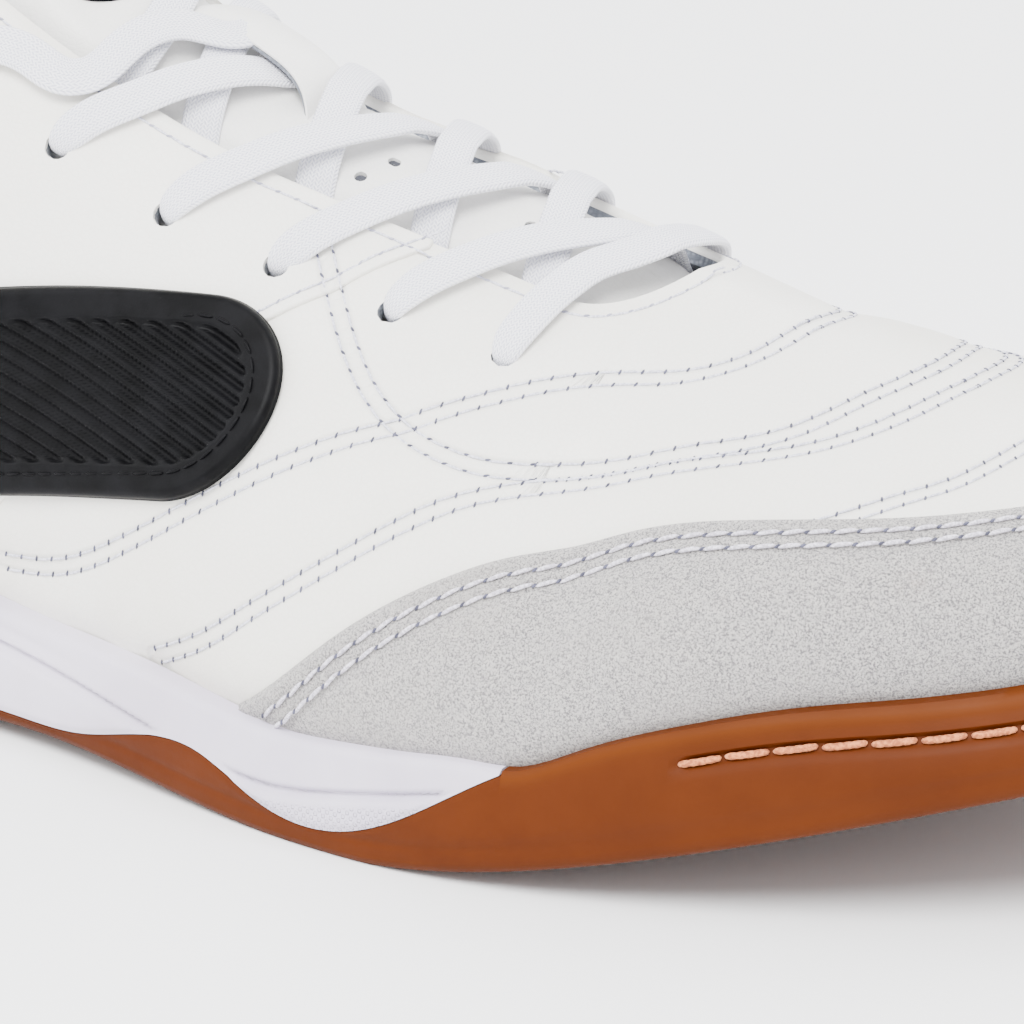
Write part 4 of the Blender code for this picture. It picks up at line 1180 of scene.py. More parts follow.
def growth(piece, tree, values):  # runs a Geometry Nodes tree and keeps its result as a plain mesh
    modifier = piece.modifiers.new(tree.name, "NODES")
    modifier.node_group = tree
    for item in tree.interface.items_tree:
        if item.item_type == "SOCKET" and item.in_out == "INPUT" and item.name in values:
            modifier[item.identifier] = values[item.name]
    piece.update_tag()
    bpy.context.view_layer.update()
    grown = bpy.data.meshes.new_from_object(piece.evaluated_get(bpy.context.evaluated_depsgraph_get()))
    piece.modifiers.clear()
    piece.data = grown
    return piece


def ovalRib(side, along, level, rise):  # runs up a rib, their shares, and the run of the oval's middle
    share = np.linspace(0, 0.9, 181)
    centre = (level + rise * (along - oval["middle"])) * last["collar"] + trimAt(along)[0] * 0.001
    return runAlong(rib(side * turnOf(along), share)), share, centre


def ovalGrid(side, level, rise):  # shares of the ribs that make an oval of even height
    length = oval["length"] / last["length"]
    u = np.linspace(-1, 1, oval["around"])
    alongs = oval["middle"] + length / 2 * np.sin(u * math.pi / 2)
    shares = []
    runs = []
    for along in alongs:
        end = max(abs(along - oval["middle"]) - (length - oval["height"] / last["length"]) / 2, 0)
        half = oval["height"] / 2 * math.sqrt(max(1 - (end / (oval["height"] / 2 / last["length"])) ** 2, 0))
        run, share, centre = ovalRib(side, along, level, rise)
        levels = centre + half * np.sin(np.linspace(-1, 1, oval["across"]) * math.pi / 2)
        shares.append(np.interp(levels, run, share))
        runs.append(levels - centre)
    return alongs, np.array(shares), np.array(runs)


def buildOval(name, side, level, rise):
    alongs, shares, runs = ovalGrid(side, level, rise)
    base, normal = skinFrame((side * turnOf(alongs))[:, None], shares)
    flatX = (alongs - oval["middle"])[:, None] * last["length"] * np.ones_like(runs)
    straight = (oval["length"] - oval["height"]) / 2
    apart = np.hypot(np.maximum(np.abs(flatX) - straight, 0), runs)
    inward = oval["height"] / 2 - apart
    field = smoothStep(oval["border"], oval["border"] + 0.0006, inward)
    edge = np.sqrt(np.clip(1 - (1 - np.clip(inward / 0.0012, 0, 1)) ** 2, 0, 1))
    lift = overlay["thickness"] + oval["thickness"] * (0.35 + 0.65 * edge) - 0.0006 * field
    outside = base + normal * lift[..., None]
    inside = base + normal * (overlay["thickness"] - 0.0002)
    phase = flatX * math.sin(oval["ribSlant"]) - runs * math.cos(oval["ribSlant"])
    piece = slab(name, outside, inside, black, rim=1, values={"ribPhase": phase, "ribField": field})
    growth(piece, ribs, {"Depth": oval["ribDepth"], "Pitch": oval["ribPitch"], "Finish": black})
    return piece


ribs = ribTree()
for name, side, level, rise in ovalTable:
    settle(buildOval(name, side, level, rise), "side_patch", name)
print("ovals made")

# tongue
tongue = {"top": 0.300, "foot": 0.735, "overlap": 0.0120, "thickness": 0.0050, "slack": 0.0012,
          "crown": 0.0006, "columns": 196, "rows": 86}
vent = {"radius": 0.00085, "shadeRadius": 0.0010, "depth": -0.0025, "top": -0.0005, "bottom": -0.0009}
ventSpots = [(0.5510, 0.0050), (0.5440, 0.0102), (0.6190, 0.0050), (0.6120, 0.0102)]  # along, aside


def tongueLift(along, aside):  # depth of the tongue's top below the skin line
    width = throatWidth(np.minimum(along, last["throatEnd"] - 0.004)) + 1e-9
    above = 1 - np.clip((along - last["collarFront"]) / 0.05, 0, 1)
    wall = last["wall"] + (last["collarWall"] - last["wall"]) * above
    under = wall + 0.0006 + tongue["slack"] * above
    inThroat = smoothStep(1.12, 0.70, np.abs(aside) / width)
    inThroat = inThroat * smoothStep(last["throatEnd"] - 0.004, last["throatEnd"] - 0.05, along)
    free = smoothStep(0.352, 0.325, along)
    rise = tongue["crown"] * inThroat + free * 0.002
    return -(under - np.minimum(rise, under)) - 0.0016 * (1 - inThroat) * (1 - above)


def buildTongue():
    along = np.linspace(tongue["top"], tongue["foot"], tongue["columns"])
    across = np.linspace(-1, 1, tongue["rows"])
    narrow = 1 - 0.25 * np.clip((along - last["throatEnd"]) / (tongue["foot"] - last["throatEnd"]), 0, 1)
    reach = (throatAt(along) * last["throatHalf"] + tongue["overlap"]) * narrow
    rounded = np.sqrt(np.clip(1 - (1 - np.clip((along - tongue["top"]) / 0.022, 0, 1)) ** 2.2, 0.30, 1))
    aside = -across[None] * (reach * rounded)[:, None]
    grid = along[:, None] * np.ones_like(aside)
    point, normal = overSkin(grid, aside, 0.0)
    lift = tongueLift(grid, aside)
    pad = np.clip((last["throatEnd"] - along) / 0.05, 0, 1)[:, None]
    tip = smoothStep(0.0, 0.02, along - tongue["top"])[:, None]
    thick = tongue["thickness"] * (0.30 + 0.70 * pad * (1 - np.abs(across)[None] ** 3))
    thick = thick * (0.55 + 0.45 * tip)
    folds = 0.00018 * np.sin(grid * 210 + np.sin(aside * 300)) * (1 - np.abs(across)[None] ** 2)
    outside = point + normal * (lift + folds)[..., None]
    inside = point + normal * (lift - thick)[..., None]
    holes = [(*overSkin(*spot, vent["depth"]), vent["radius"]) for spot in ventSpots]
    return slab("tongue", outside, inside, tongueLeather, rim=3, holes=holes)


tonguePiece = settle(buildTongue(), "tongue", "tongue")


def tongueTop(along, aside, lift):
    point, normal = overSkin(along, aside, 0.0)
    return point + normal * (tongueLift(along, aside) + lift)[..., None]


keeper = {"front": 0.511, "back": 0.434, "near": 0.0026, "far": -0.0058, "flare": 0.0040,
          "rise": 0.0036, "thickness": 0.0006, "lining": 0.0006}


def buildKeeper():  # strip between two slots of the tongue, raised by the laces under it
    run = np.linspace(-1, 1, 48)[:, None] * np.ones((1, 40))
    share = np.linspace(0, 1, 40)[None] * np.ones((48, 1))
    along = (keeper["front"] + keeper["back"]) / 2 + run * (keeper["front"] - keeper["back"]) / 2
    flare = keeper["flare"] * np.abs(run) ** 5
    near, far = keeper["near"] + flare, keeper["far"] - flare
    aside = near + (far - near) * share
    arch = keeper["rise"] * (1 - np.abs(run) ** 2.6) - 0.0013 * np.abs(run) ** 6
    layers = []
    for name, up, down, material in (
        ("keeper_leather", keeper["thickness"], 0.0, tongueLeather),
        ("keeper_lining", 0.0, -keeper["lining"], lining),
    ):
        outside = tongueTop(along, aside, arch + up)
        inside = tongueTop(along, aside, arch + down)
        layers.append(slab(name, outside, inside, material, rim=2))
    return layers


for layer in buildKeeper():
    settle(layer, "tongue")


badge = {"middle": 0.372, "halfLength": 0.050, "halfWidth": 0.0140, "thickness": 0.0011, "sink": 0.0002}


def buildBadge():  # plain black oval on the tongue
    t = np.sin(np.linspace(0, math.pi / 2, 24))[:, None]
    a = np.linspace(0, 2 * math.pi, 97)[None]
    along = badge["middle"] + badge["halfLength"] * t * np.sin(a)
    aside = badge["halfWidth"] * t * np.cos(a)
    outside = tongueTop(along, aside, badge["thickness"] * np.sqrt(np.clip(1 - t**8, 0.12, 1)) + 0 * a)
    inside = tongueTop(along, aside, -badge["sink"])
    return slab("tongue_badge", outside, inside, black, rim=1)


settle(buildBadge(), "tongue")
ventDark = threadFinish("ventShade", srgb(60, 62, 72), srgb(44, 46, 54), 600.0)


def buildVents():  # dark disc a little way down each vent hole: painted shade standing in for the dark inside of the hole
    t = np.linspace(0, vent["shadeRadius"], 5)[:, None]
    a = np.linspace(0, 2 * math.pi, 17)[None]
    for k, (middle, run) in enumerate(ventSpots):
        along = middle + t * np.sin(a) / last["length"]
        aside = run + t * np.cos(a)
        outside = tongueTop(along, aside, vent["top"])
        inside = tongueTop(along, aside, vent["bottom"])
        settle(slab("tongue_vent_" + str(k), outside, inside, ventDark), "tongue")


buildVents()
print("tongue made")

# lace: one flat band through all the eyelets
lace = {"width": 0.0052, "thickness": 0.00135, "around": 14, "step": 0.0008,
        "dipOver": 0.0016, "dipUnder": 0.0018, "dipMiddle": -0.001, "dipWidth": 0.0065}
crossingOver = [  # from the far eyelet to the near one: aside, shift from the near eyelet, lift, width
    (-0.0274, 0.0560, -0.0017, 0.50), (-0.0235, 0.0562, -0.0031, 0.80), (-0.0180, 0.0598, -0.0033, 1.0),
    (-0.0130, 0.0640, -0.0027, 1.0), (-0.0080, 0.0668, -0.0009, 1.0), (-0.0030, 0.0672, 0.0000, 1.0),
    (0.0010, 0.0638, 0.0006, 1.0), (0.0040, 0.0585, 0.0011, 1.0), (0.0070, 0.0515, 0.0016, 1.0),
    (0.0100, 0.0432, 0.0019, 1.0), (0.0130, 0.0345, 0.0020, 1.0), (0.0160, 0.0260, 0.0019, 1.0),
    (0.0190, 0.0180, 0.0018, 1.0), (0.0222, 0.0100, 0.0017, 0.97), (0.0250, 0.0044, 0.0014, 0.86),
    (0.0268, 0.0012, 0.0007, 0.68), (0.0274, 0.0000, -0.0010, 0.50),
]
crossingUnder = [  # from the near eyelet to the far one: aside, shift from the near eyelet, lift, width
    (0.0274, 0.0000, -0.0017, 0.50), (0.0235, -0.0006, -0.0031, 0.80), (0.0180, -0.0026, -0.0033, 1.0),
    (0.0140, -0.0056, -0.0022, 1.0), (0.0105, -0.0086, -0.0006, 1.0), (0.0070, -0.0118, 0.0003, 1.0),
    (0.0030, -0.0160, 0.0010, 1.0), (-0.0010, -0.0212, 0.0014, 1.0), (-0.0050, -0.0276, 0.0016, 1.0),
    (-0.0090, -0.0340, 0.0017, 1.0), (-0.0130, -0.0398, 0.0019, 1.0), (-0.0165, -0.0444, 0.0020, 1.0),
    (-0.0200, -0.0490, 0.0017, 1.0), (-0.0235, -0.0528, 0.0012, 0.92), (-0.0262, -0.0552, 0.0006, 0.70),
    (-0.0274, -0.0560, -0.0010, 0.50),
]
toeBar = [  # along, aside, lift, width
    (0.6470, 0.0274, -0.0010, 0.50), (0.6476, 0.0266, 0.0007, 0.70), (0.6480, 0.0250, 0.0013, 0.86),
    (0.6490, 0.0223, 0.0014, 0.97), (0.6512, 0.0183, 0.0014, 1.0), (0.6545, 0.0142, 0.0014, 1.0),
    (0.6590, 0.0100, 0.0014, 1.0), (0.6655, 0.0064, 0.0014, 1.0), (0.6715, 0.0026, 0.0017, 1.0),
    (0.6735, -0.0030, 0.0018, 1.0), (0.6705, -0.0090, 0.0018, 1.0), (0.6630, -0.0150, 0.0019, 1.0),
    (0.6550, -0.0205, 0.0017, 0.97), (0.6495, -0.0245, 0.0012, 0.84), (0.6470, -0.0268, 0.0006, 0.66),
    (0.6470, -0.0276, -0.0010, 0.50),
]
topOver = [  # last crossing, folded back up the near edge to the top eyelet
    (0.4230, -0.0298, -0.0017, 0.50), (0.4270, -0.0255, -0.0031, 0.80), (0.4400, -0.0195, -0.0030, 1.0),
    (0.4560, -0.0120, -0.0006, 1.0), (0.4640, -0.0040, 0.0012, 1.0), (0.4625, 0.0036, 0.0016, 1.0),
    (0.4480, 0.0066, 0.0019, 1.0), (0.4375, 0.0105, 0.0019, 1.0), (0.4320, 0.0155, 0.0020, 1.0),
    (0.4265, 0.0200, 0.0021, 1.0), (0.4160, 0.0226, 0.0022, 1.0), (0.4020, 0.0232, 0.0022, 1.0),
    (0.3870, 0.0246, 0.0021, 1.0), (0.3750, 0.0278, 0.0018, 0.90), (0.3688, 0.0306, 0.0008, 0.66),
    (0.3670, 0.0312, -0.0012, 0.50), (0.3672, 0.0306, -0.0026, 0.50),
]
topUnder = [
    (0.4230, 0.0298, -0.0017, 0.50), (0.4270, 0.0262, -0.0031, 0.80), (0.4330, 0.0215, -0.0032, 1.0),
    (0.4362, 0.0170, -0.0016, 1.0), (0.4380, 0.0120, -0.0002, 1.0), (0.4370, 0.0060, 0.0004, 1.0),
    (0.4300, -0.0010, 0.0010, 1.0), (0.4190, -0.0080, 0.0014, 1.0), (0.4060, -0.0150, 0.0020, 1.0),
    (0.3930, -0.0210, 0.0026, 1.0), (0.3800, -0.0262, 0.0022, 0.95), (0.3705, -0.0298, 0.0010, 0.70),
    (0.3670, -0.0312, -0.0012, 0.50), (0.3672, -0.0306, -0.0026, 0.50),
]


def laceRoute():  # from the inner top eyelet down, over the bar and up again to the outer top one
    def turned(table, near, flip):
        spread = throatWidth(near) - throatWidth(eyeletAlong[1])
        rows = []
        for run, shift, lift, width in table:
            wide = run + math.copysign(spread * min(abs(run) / 0.016, 1), run)
            rows.append((near + shift, -wide if flip else wide, lift, width))
        return rows

    def dipped(rows, depth):  # the fourth pair dips under the tongue's keeper
        share = [math.exp(-(((r - lace["dipMiddle"]) / lace["dipWidth"]) ** 2)) for _, r, _, _ in rows]
        return [(a, r, lift - depth * s, w) for (a, r, lift, w), s in zip(rows, share)]

    first, second = [], []
    for k in range(4):  # crossings over go from far to near in turn; the others pass under them
        over = turned(crossingOver, eyeletAlong[k + 1], False)
        under = turned(crossingUnder, eyeletAlong[k], False)
        if k == 3:
            over, under = dipped(over, lace["dipOver"]), dipped(under, lace["dipUnder"])
        first += under if k % 2 else over
        second += over if k % 2 else under
    return (second + topUnder)[::-1] + toeBar + first + topOver


def bandAlong(name, route, material):
    route = np.array(route)
    rough, _ = overSkin(route[:, 0], route[:, 1], route[:, 2])
    knots = runAlong(rough)
    at = splineThrough(knots, route)
    count = int(knots[-1] / lace["step"])
    rows = at(np.linspace(0, knots[-1], count))
    centre, normal = overSkin(rows[:, 0], rows[:, 1], rows[:, 2])
    tangent = unit(np.gradient(centre, axis=0))
    ups = np.empty_like(centre)
    up = tangentUp(-normal[0], tangent[0])
    for k in range(count):
        up = tangentUp(up, tangent[k])
        flatness = abs(normal[k] @ tangent[k])
        target = normal[k] - (normal[k] @ tangent[k]) * tangent[k]
        target /= max(np.linalg.norm(target), 1e-9)
        if target @ up < 0:
            target = -target
        pull = 0.35 * max(0.0, 1 - 1.6 * flatness)
        up = tangentUp(up * (1 - pull) + target * pull, tangent[k])
        ups[k] = up
    aside = np.cross(tangent, ups)
    turns = np.linspace(0, 2 * math.pi, lace["around"], endpoint=False)
    c, s = np.cos(turns), np.sin(turns)
    flatX = np.sign(c) * np.abs(c) ** 0.75
    flatY = np.sign(s) * np.abs(s) ** 0.70
    width = rows[:, 3] * lace["width"] / 2
    height = lace["thickness"] / 2 * (1 + 0.35 * (1 - np.clip(rows[:, 3], 0, 1)))
    points = centre[:, None] + aside[:, None] * (width[:, None] * flatX)[..., None]
    points = points + ups[:, None] * (height[:, None] * flatY)[..., None]
    around = lace["around"]
    faces = gridFaces(count, around, closedColumns=True).tolist()
    faces += [list(range(around))[::-1], list(range((count - 1) * around, count * around))]
    mesh = bpy.data.meshes.new(name)
    mesh.from_pydata(points.reshape(-1, 3).tolist(), [], faces)
    layer = mesh.uv_layers.new(name="weave")
    run = runAlong(centre) * 1000
    side = flatX * lace["width"] / 2 * 1000
    loops = np.empty(len(mesh.loops), int)
    mesh.loops.foreach_get("vertex_index", loops)
    uv = np.stack([side[loops % around], run[np.minimum(loops // around, count - 1)]], -1)
    layer.data.foreach_set("uv", uv.ravel())
    turnOutward(mesh)
    return addPiece(name, mesh, material, sharp=None)


def tangentUp(up, tangent):
    up = up - (up @ tangent) * tangent
    return up / max(np.linalg.norm(up), 1e-9)


laceNodes = [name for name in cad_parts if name.startswith("lace_")]
laceBand = settle(bandAlong("lace", laceRoute(), laceCloth), "lace", *laceNodes)
print("lace made:", len(laceBand.data.polygons), "faces")

# sole
sole = {"stations": 260, "bevel": 0.0010, "treadDepth": 0.0014, "treadGroove": 0.0024,
        "treadPitch": 0.0125, "treadBorder": 0.0075, "channelStart": 0.786, "channelDepth": 0.0009,
        "channelDrop": 0.0040, "channelEase": 0.012, "grooveDepth": 0.0010, "beadAt": 0.0009,
        "heelTread": (0.045, 0.285), "foreTread": (0.510, 0.930), "bead": 0.00035, "nose": 0.0006}


def treadLines():
    found = []
    for start, end in (sole["heelTread"], sole["foreTread"]):
        count = int((end - start) * last["length"] / sole["treadPitch"])
        found += [start + (end - start) * i / count for i in range(count + 1)]
    return np.array(found)


treadAt = treadLines()


def soleStations(start, end, count):
    places = np.linspace(turnOf(start), turnOf(end), count)
    half = sole["treadGroove"] / 2 / last["length"]
    edges = np.concatenate([treadAt + reach for reach in (-half - 0.0004, -half, half, half + 0.0004)])
    edges = edges[(edges > start) & (edges < end)]
    return np.unique(np.round(np.concatenate([places, turnOf(edges)]), 7))


def noseAlong():
    along = np.linspace(0.65, 0.74, 181)
    left = rimHeight(turnOf(along)) - rubberHeight(turnOf(along))
    return float(np.interp(-sole["nose"], -left, along))


def sidePoint(place, inset, height):
    plan, _ = outlinePoint(place, inset)
    return np.array([plan[0], plan[1], float(height)])


def rubberSide(place, cup):  # outer wall of the rubber from its top down
    base = float(ground(alongOf(place))) + sole["bevel"]
    top = float(rimHeight(place) if cup else rubberHeight(place))
    points, beads = [], []
    start = np.clip((alongOf(place) - sole["channelStart"]) / 0.008, 0, 1) if cup else 0
    drops = [0.0, 0.0005, 0.0010, 0.0016, 0.0021, 0.0027]
    drops += [0.0030, 0.0034, 0.0037, 0.0040, 0.0043, 0.0046, 0.0050]
    scale = min((top - base) / 0.0062, 1.0)
    heights = [top - d * scale for d in drops]
    heights += list(np.linspace(heights[-1], base, 10)[1:])
    for height in heights:
        drop = (top - height) / max(scale, 1e-6)
        inset = float(sideInset(place, height))
        beadOut = sole["bead"] * math.exp(-(((drop - sole["beadAt"]) / 0.0007) ** 2)) * (1 if cup else 0.3)
        groove = math.exp(-(((drop - sole["channelDrop"]) / 0.00075) ** 4)) * sole["channelDepth"] * start
        line = 0.00022 * math.exp(-(((height - base - 0.0021) / 0.0005) ** 2))
        points.append(sidePoint(place, inset - beadOut + groove + line, height))
        beads.append(math.exp(-(((drop - sole["beadAt"]) / 0.0010) ** 2)) * (1 if cup else 0))
    return points, beads


def rubberLoop(turn, cup):
    along = float(alongOf(turn))
    level = float(ground(along))
    inTread = np.min(np.abs(treadAt - along)) < sole["treadGroove"] / 2 / last["length"] + 1e-5
    halves = []
    for place in (-turn, turn):
        outer, beads = rubberSide(place, cup)
        for share in (0.35, 0.75):
            height = level + sole["bevel"] * (1 - share) ** 2
            outer.append(sidePoint(place, sole["bevel"] * share * 0.8, height))
            beads.append(0)
        seat, inset = float(seatHeight(place)), float(cupInset(place))
        if cup:
            top, floor, lip = float(rimHeight(place)), seat, inset
        else:
            top = float(rubberHeight(place))
            floor = min(top, seat - last["plate"] - last["gap"])
            lip = inset - last["skirt"] - last["gap"]
        border = sole["treadBorder"]
        under = [sidePoint(place, inset, level) for inset in (sole["bevel"], border, border + 0.0003)]
        inner = [sidePoint(place, lip, top), sidePoint(place, lip, floor)]
        halves.append((outer, beads, under, inner))
    (outM, beadM, underM, inM), (outL, beadL, underL, inL) = halves
    if inTread:
        underM[-1][2] += sole["treadDepth"]
        underL[-1][2] += sole["treadDepth"]
    shares = np.linspace(0, 1, 26)[1:-1, None]
    across = underM[-1] + (underL[-1] - underM[-1]) * shares
    loop = outM + underM + list(across) + underL[::-1] + outL[::-1]
    seats = np.linspace(0, 1, 10)[1:-1, None]
    loop += inL + list(inL[-1] + (inM[-1] - inL[-1]) * seats) + inM[::-1]
    bead = beadM + [0] * (len(underM) * 2 + len(across)) + beadL[::-1] + [0] * (4 + len(seats))
    return np.array(loop), np.array(bead, float)


def loopMesh(name, loops, values, *materials, sharp=42):
    loops = np.array(loops)
    rows, columns = loops.shape[:2]
    faces = gridFaces(rows, columns, closedColumns=True).tolist()
    mesh, first = plainMesh(name, loops.reshape(-1, 3), faces)
    for key, value in values.items():
        setValues(mesh, key, np.array(value).ravel()[first])
    form = bmesh.new()
    form.from_mesh(mesh)
    bmesh.ops.remove_doubles(form, verts=form.verts, dist=8e-6)
    edges = [edge for edge in form.edges if edge.is_boundary]
    if edges:
        bmesh.ops.triangle_fill(form, edges=edges, use_beauty=True)
    form.to_mesh(mesh)
    form.free()
    turnOutward(mesh)
    return addPiece(name, mesh, *materials, sharp=sharp)


def buildOutsole():
    nose = noseAlong()
    behind = soleStations(0, nose, 210)
    ahead = soleStations(nose + 0.0001 / last["length"], 1, 90)
    found = [rubberLoop(t, False) for t in behind] + [rubberLoop(t, True) for t in ahead]
    return loopMesh("outsole", [f[0] for f in found], {"bead": [f[1] for f in found]}, gum)


grooveAt = splineThrough(  # drop of the midsole's groove below its rim, in millimetres
    [0.0, 0.20, 0.40, 0.445, 0.484, 0.528, 0.556, 0.593, 0.632, 0.692, 0.72],
    [9.0, 7.0, 4.4, 4.3, 5.3, 6.4, 6.4, 6.5, 5.7, 4.0, 3.4],
)


def foamSide(place, low):  # outer wall of the midsole from the rim down: soft steps and a groove
    top = float(rimHeight(place))
    span = top - low
    points, dots = [], []
    along = float(alongOf(place))
    line = float(grooveAt(along)) * 0.001
    for share in np.linspace(0, 1, 40):
        height = top - span * share
        drop = span * share
        inset = float(sideInset(place, height))
        lipRound = 0.0007 * max(0.0, 1 - drop / 0.0010) ** 2
        groove = sole["grooveDepth"] * math.exp(-(((drop - line) / 0.00042) ** 2))
        groove *= float(smoothStep(0, 0.0010, span - line))
        second = 0.00030 * math.exp(-(((drop - line * 0.55) / 0.00060) ** 2))
        second *= float(smoothStep(0.50, 0.44, along))
        below = -0.00040 * float(smoothStep(line + 0.0002, line + 0.0012, drop))
        below *= float(smoothStep(span, span - 0.0010, drop))
        points.append(sidePoint(place, inset + lipRound + groove + second + below, height))
        window = float(smoothStep(0.560, 0.590, along) * smoothStep(0.705, 0.690, along))
        dots.append(window * float(smoothStep(line + 0.0012, line + 0.0018, drop)))
    return points, dots


def foamLoop(turn):
    halves = []
    for place in (-turn, turn):
        rubber = float(rubberHeight(place))
        top = float(rimHeight(place))
        seat, inset = float(seatHeight(place)), float(cupInset(place))
        floor = min(rubber, seat - last["plate"] - last["gap"])
        low = rubber + last["gap"] * 0.4
        outer, dots = foamSide(place, low)
        outer.append(sidePoint(place, inset - last["skirt"], low))
        outer.append(sidePoint(place, inset - last["skirt"], floor + last["gap"]))
        inner = [sidePoint(place, inset, top), sidePoint(place, inset, seat)]
        halves.append((outer, dots + [0, 0], inner))
    (outM, dotM, inM), (outL, dotL, inL) = halves
    shares = np.linspace(0, 1, 8)[1:-1, None]
    loop = outM + list(outM[-1] + (outL[-1] - outM[-1]) * shares) + outL[::-1]
    loop += inL + list(inL[-1] + (inM[-1] - inL[-1]) * shares) + inM[::-1]
    dots = dotM + [0] * len(shares) + dotL[::-1] + [0] * (4 + len(shares))
    return np.array(loop), np.array(dots, float)


def buildMidsole():
    nose = noseAlong()
    places = np.linspace(0, turnOf(nose - last["gap"] / last["length"]), 230)
    found = [foamLoop(t) for t in places]
    runs = [np.full(len(f[1]), r) for f, r in zip(found, runAlong(outlineEdge(places)))]
    return loopMesh("midsole", [f[0] for f in found], {"dots": [f[1] for f in found], "run": runs}, foam)


outsole = settle(buildOutsole(), "outsole", "outsole")
midsole = settle(buildMidsole(), "midsole", "midsole")
print("sole made:", len(outsole.data.polygons), len(midsole.data.polygons), "faces")

# sock liner
sock = {"thickness": 0.0040, "inset": 0.0029, "stations": 120, "across": 40, "dish": 0.0016}


def buildInsole():
    turns = np.linspace(0.0, 1.0, sock["stations"])
    across = np.linspace(0, 1, sock["across"])
    tops, lows = [], []
    for turnAt in turns:
        ends = []
        for place in (-turnAt, turnAt):
            plan, _ = outlinePoint(place, cupInset(place) + sock["inset"])
            ends.append(np.array([plan[0], plan[1], float(seatHeight(place)) + last["gap"]]))
        row = ends[0] + (ends[1] - ends[0]) * across[:, None]
        curved = np.abs(across * 2 - 1)
        edge = np.sqrt(np.clip(1 - curved**8, 0.05, 1))
        dish = sock["dish"] / 2 * math.sin(math.pi * alongOf(turnAt))
        top = row.copy()
        top[:, 2] += sock["thickness"] * edge - dish * (1 - curved**2)
        tops.append(top)
        lows.append(row)
    return slab("insole", np.array(tops), np.array(lows), insoleCloth, rim=1)


settle(buildInsole(), "insole", "insole")
print("insole made")

# stitches, and dark needle-hole marks of painted shade, by Geometry Nodes
def stitchTree():  # puts one stitch shape at even steps along guide lines, up from their normals
    tree, build, source = shapeTree(
        "stitchRows", Guides="Geometry", Pitch="Float", Shape="Object", Turn="Float",
        Shift="Float", Uneven="Float", Seed="Int", Finish="Material",
    )
    line = build.add("GeometryNodeMeshToCurve", {"Mesh": source.outputs["Guides"]})
    steps = {"Curve": line.outputs[0], "Length": source.outputs["Pitch"]}
    even = build.add("GeometryNodeResampleCurve", steps, mode="LENGTH")
    up = build.add("GeometryNodeInputNamedAttribute", {"Name": "up"}, data_type="FLOAT_VECTOR")
    ahead = build.add("GeometryNodeInputTangent")
    first = build.add("FunctionNodeAlignRotationToVector", {"Vector": ahead.outputs[0]}, axis="X")
    raised = {"Rotation": first.outputs[0], "Vector": up.outputs[0]}
    second = build.add("FunctionNodeAlignRotationToVector", raised, axis="Z", pivot_axis="X")
    draw = {"ID": build.add("GeometryNodeInputIndex").outputs[0], "Seed": source.outputs["Seed"]}
    wobble = build.add("FunctionNodeRandomValue", draw, data_type="FLOAT")
    swing = build.math("MULTIPLY", build.math("SUBTRACT", wobble.outputs[1], 0.5), source.outputs["Uneven"])
    spin = build.add("ShaderNodeCombineXYZ", {2: build.math("ADD", swing, source.outputs["Turn"])})
    spun = build.add("FunctionNodeEulerToRotation", {0: spin.outputs[0]})
    both = {"Rotation": second.outputs[0], "Rotate By": spun.outputs[0]}
    turned = build.add("FunctionNodeRotateRotation", both, rotation_space="LOCAL")
    given = {"Object": source.outputs["Shape"]}
    shape = build.add("GeometryNodeObjectInfo", given, transform_space="ORIGINAL")
    forward = {0: ahead.outputs[0], "Scale": source.outputs["Shift"]}
    step = build.add("ShaderNodeVectorMath", forward, operation="SCALE")
    moved = build.add("GeometryNodeSetPosition", {"Geometry": even.outputs[0], "Offset": step.outputs[0]})
    placed = {"Points": moved.outputs[0], "Instance": shape.outputs["Geometry"],
              "Rotation": turned.outputs[0]}
    many = build.add("GeometryNodeInstanceOnPoints", placed)
    giveOut(build, source, many.outputs[0])
    return tree


def threadShape(name, length, width, bow, sides=6, rings=7, twist=0.0, blunt=3):  # from hole to hole
    u = np.linspace(-1, 1, rings)[:, None]
    a = np.linspace(0, 2 * math.pi, sides, endpoint=False)[None]
    strands = 2900
    taper = np.sqrt(np.clip(1 - np.abs(u) ** blunt, 0.06, 1))
    taper = taper * (1 + twist * np.sin(u * length * strands + a * 2))
    x = u * length / 2 + 0 * a
    y = width / 2 * taper * np.cos(a)
    z = width / 2 * taper * np.sin(a) + bow * (1 - u**2) - bow * 0.5
    points = np.stack([x, y, z], -1).reshape(-1, 3)
    faces = gridFaces(rings, sides, closedColumns=True).tolist()
    faces += [list(range(sides))[::-1], list(range((rings - 1) * sides, rings * sides))]
    return hiddenShape(name, points, faces)


def hiddenShape(name, points, faces):
    mesh = bpy.data.meshes.new(name)
    mesh.from_pydata(points.tolist(), [], faces)
    turnOutward(mesh)
    return bpy.data.objects.new(name, mesh)


def guideObject(lines):
    points, ups, edges = [], [], []
    for point, up in lines:
        start = len(points)
        points += point.tolist()
        ups += up.tolist()
        edges += [(start + k, start + k + 1) for k in range(len(point) - 1)]
    mesh = bpy.data.meshes.new("guides")
    mesh.from_pydata(points, edges, [])
    attribute = mesh.attributes.new("up", "FLOAT_VECTOR", "POINT")
    attribute.data.foreach_set("vector", np.array(ups, np.float32).ravel())
    guides = bpy.data.objects.new("guides", mesh)
    bpy.context.scene.collection.objects.link(guides)
    return guides


def sew(name, lines, shape, pitch, material, slotName, turn=0.0, shift=0.0, uneven=0.08, seed=3):
    piece = guideObject(lines)
    piece.name = name
    growth(piece, stitchRows, {"Pitch": pitch, "Shape": shape, "Turn": turn, "Shift": shift,
                               "Uneven": uneven, "Seed": seed, "Finish": material})
    piece.data.shade_smooth()
    return settle(piece, slotName)


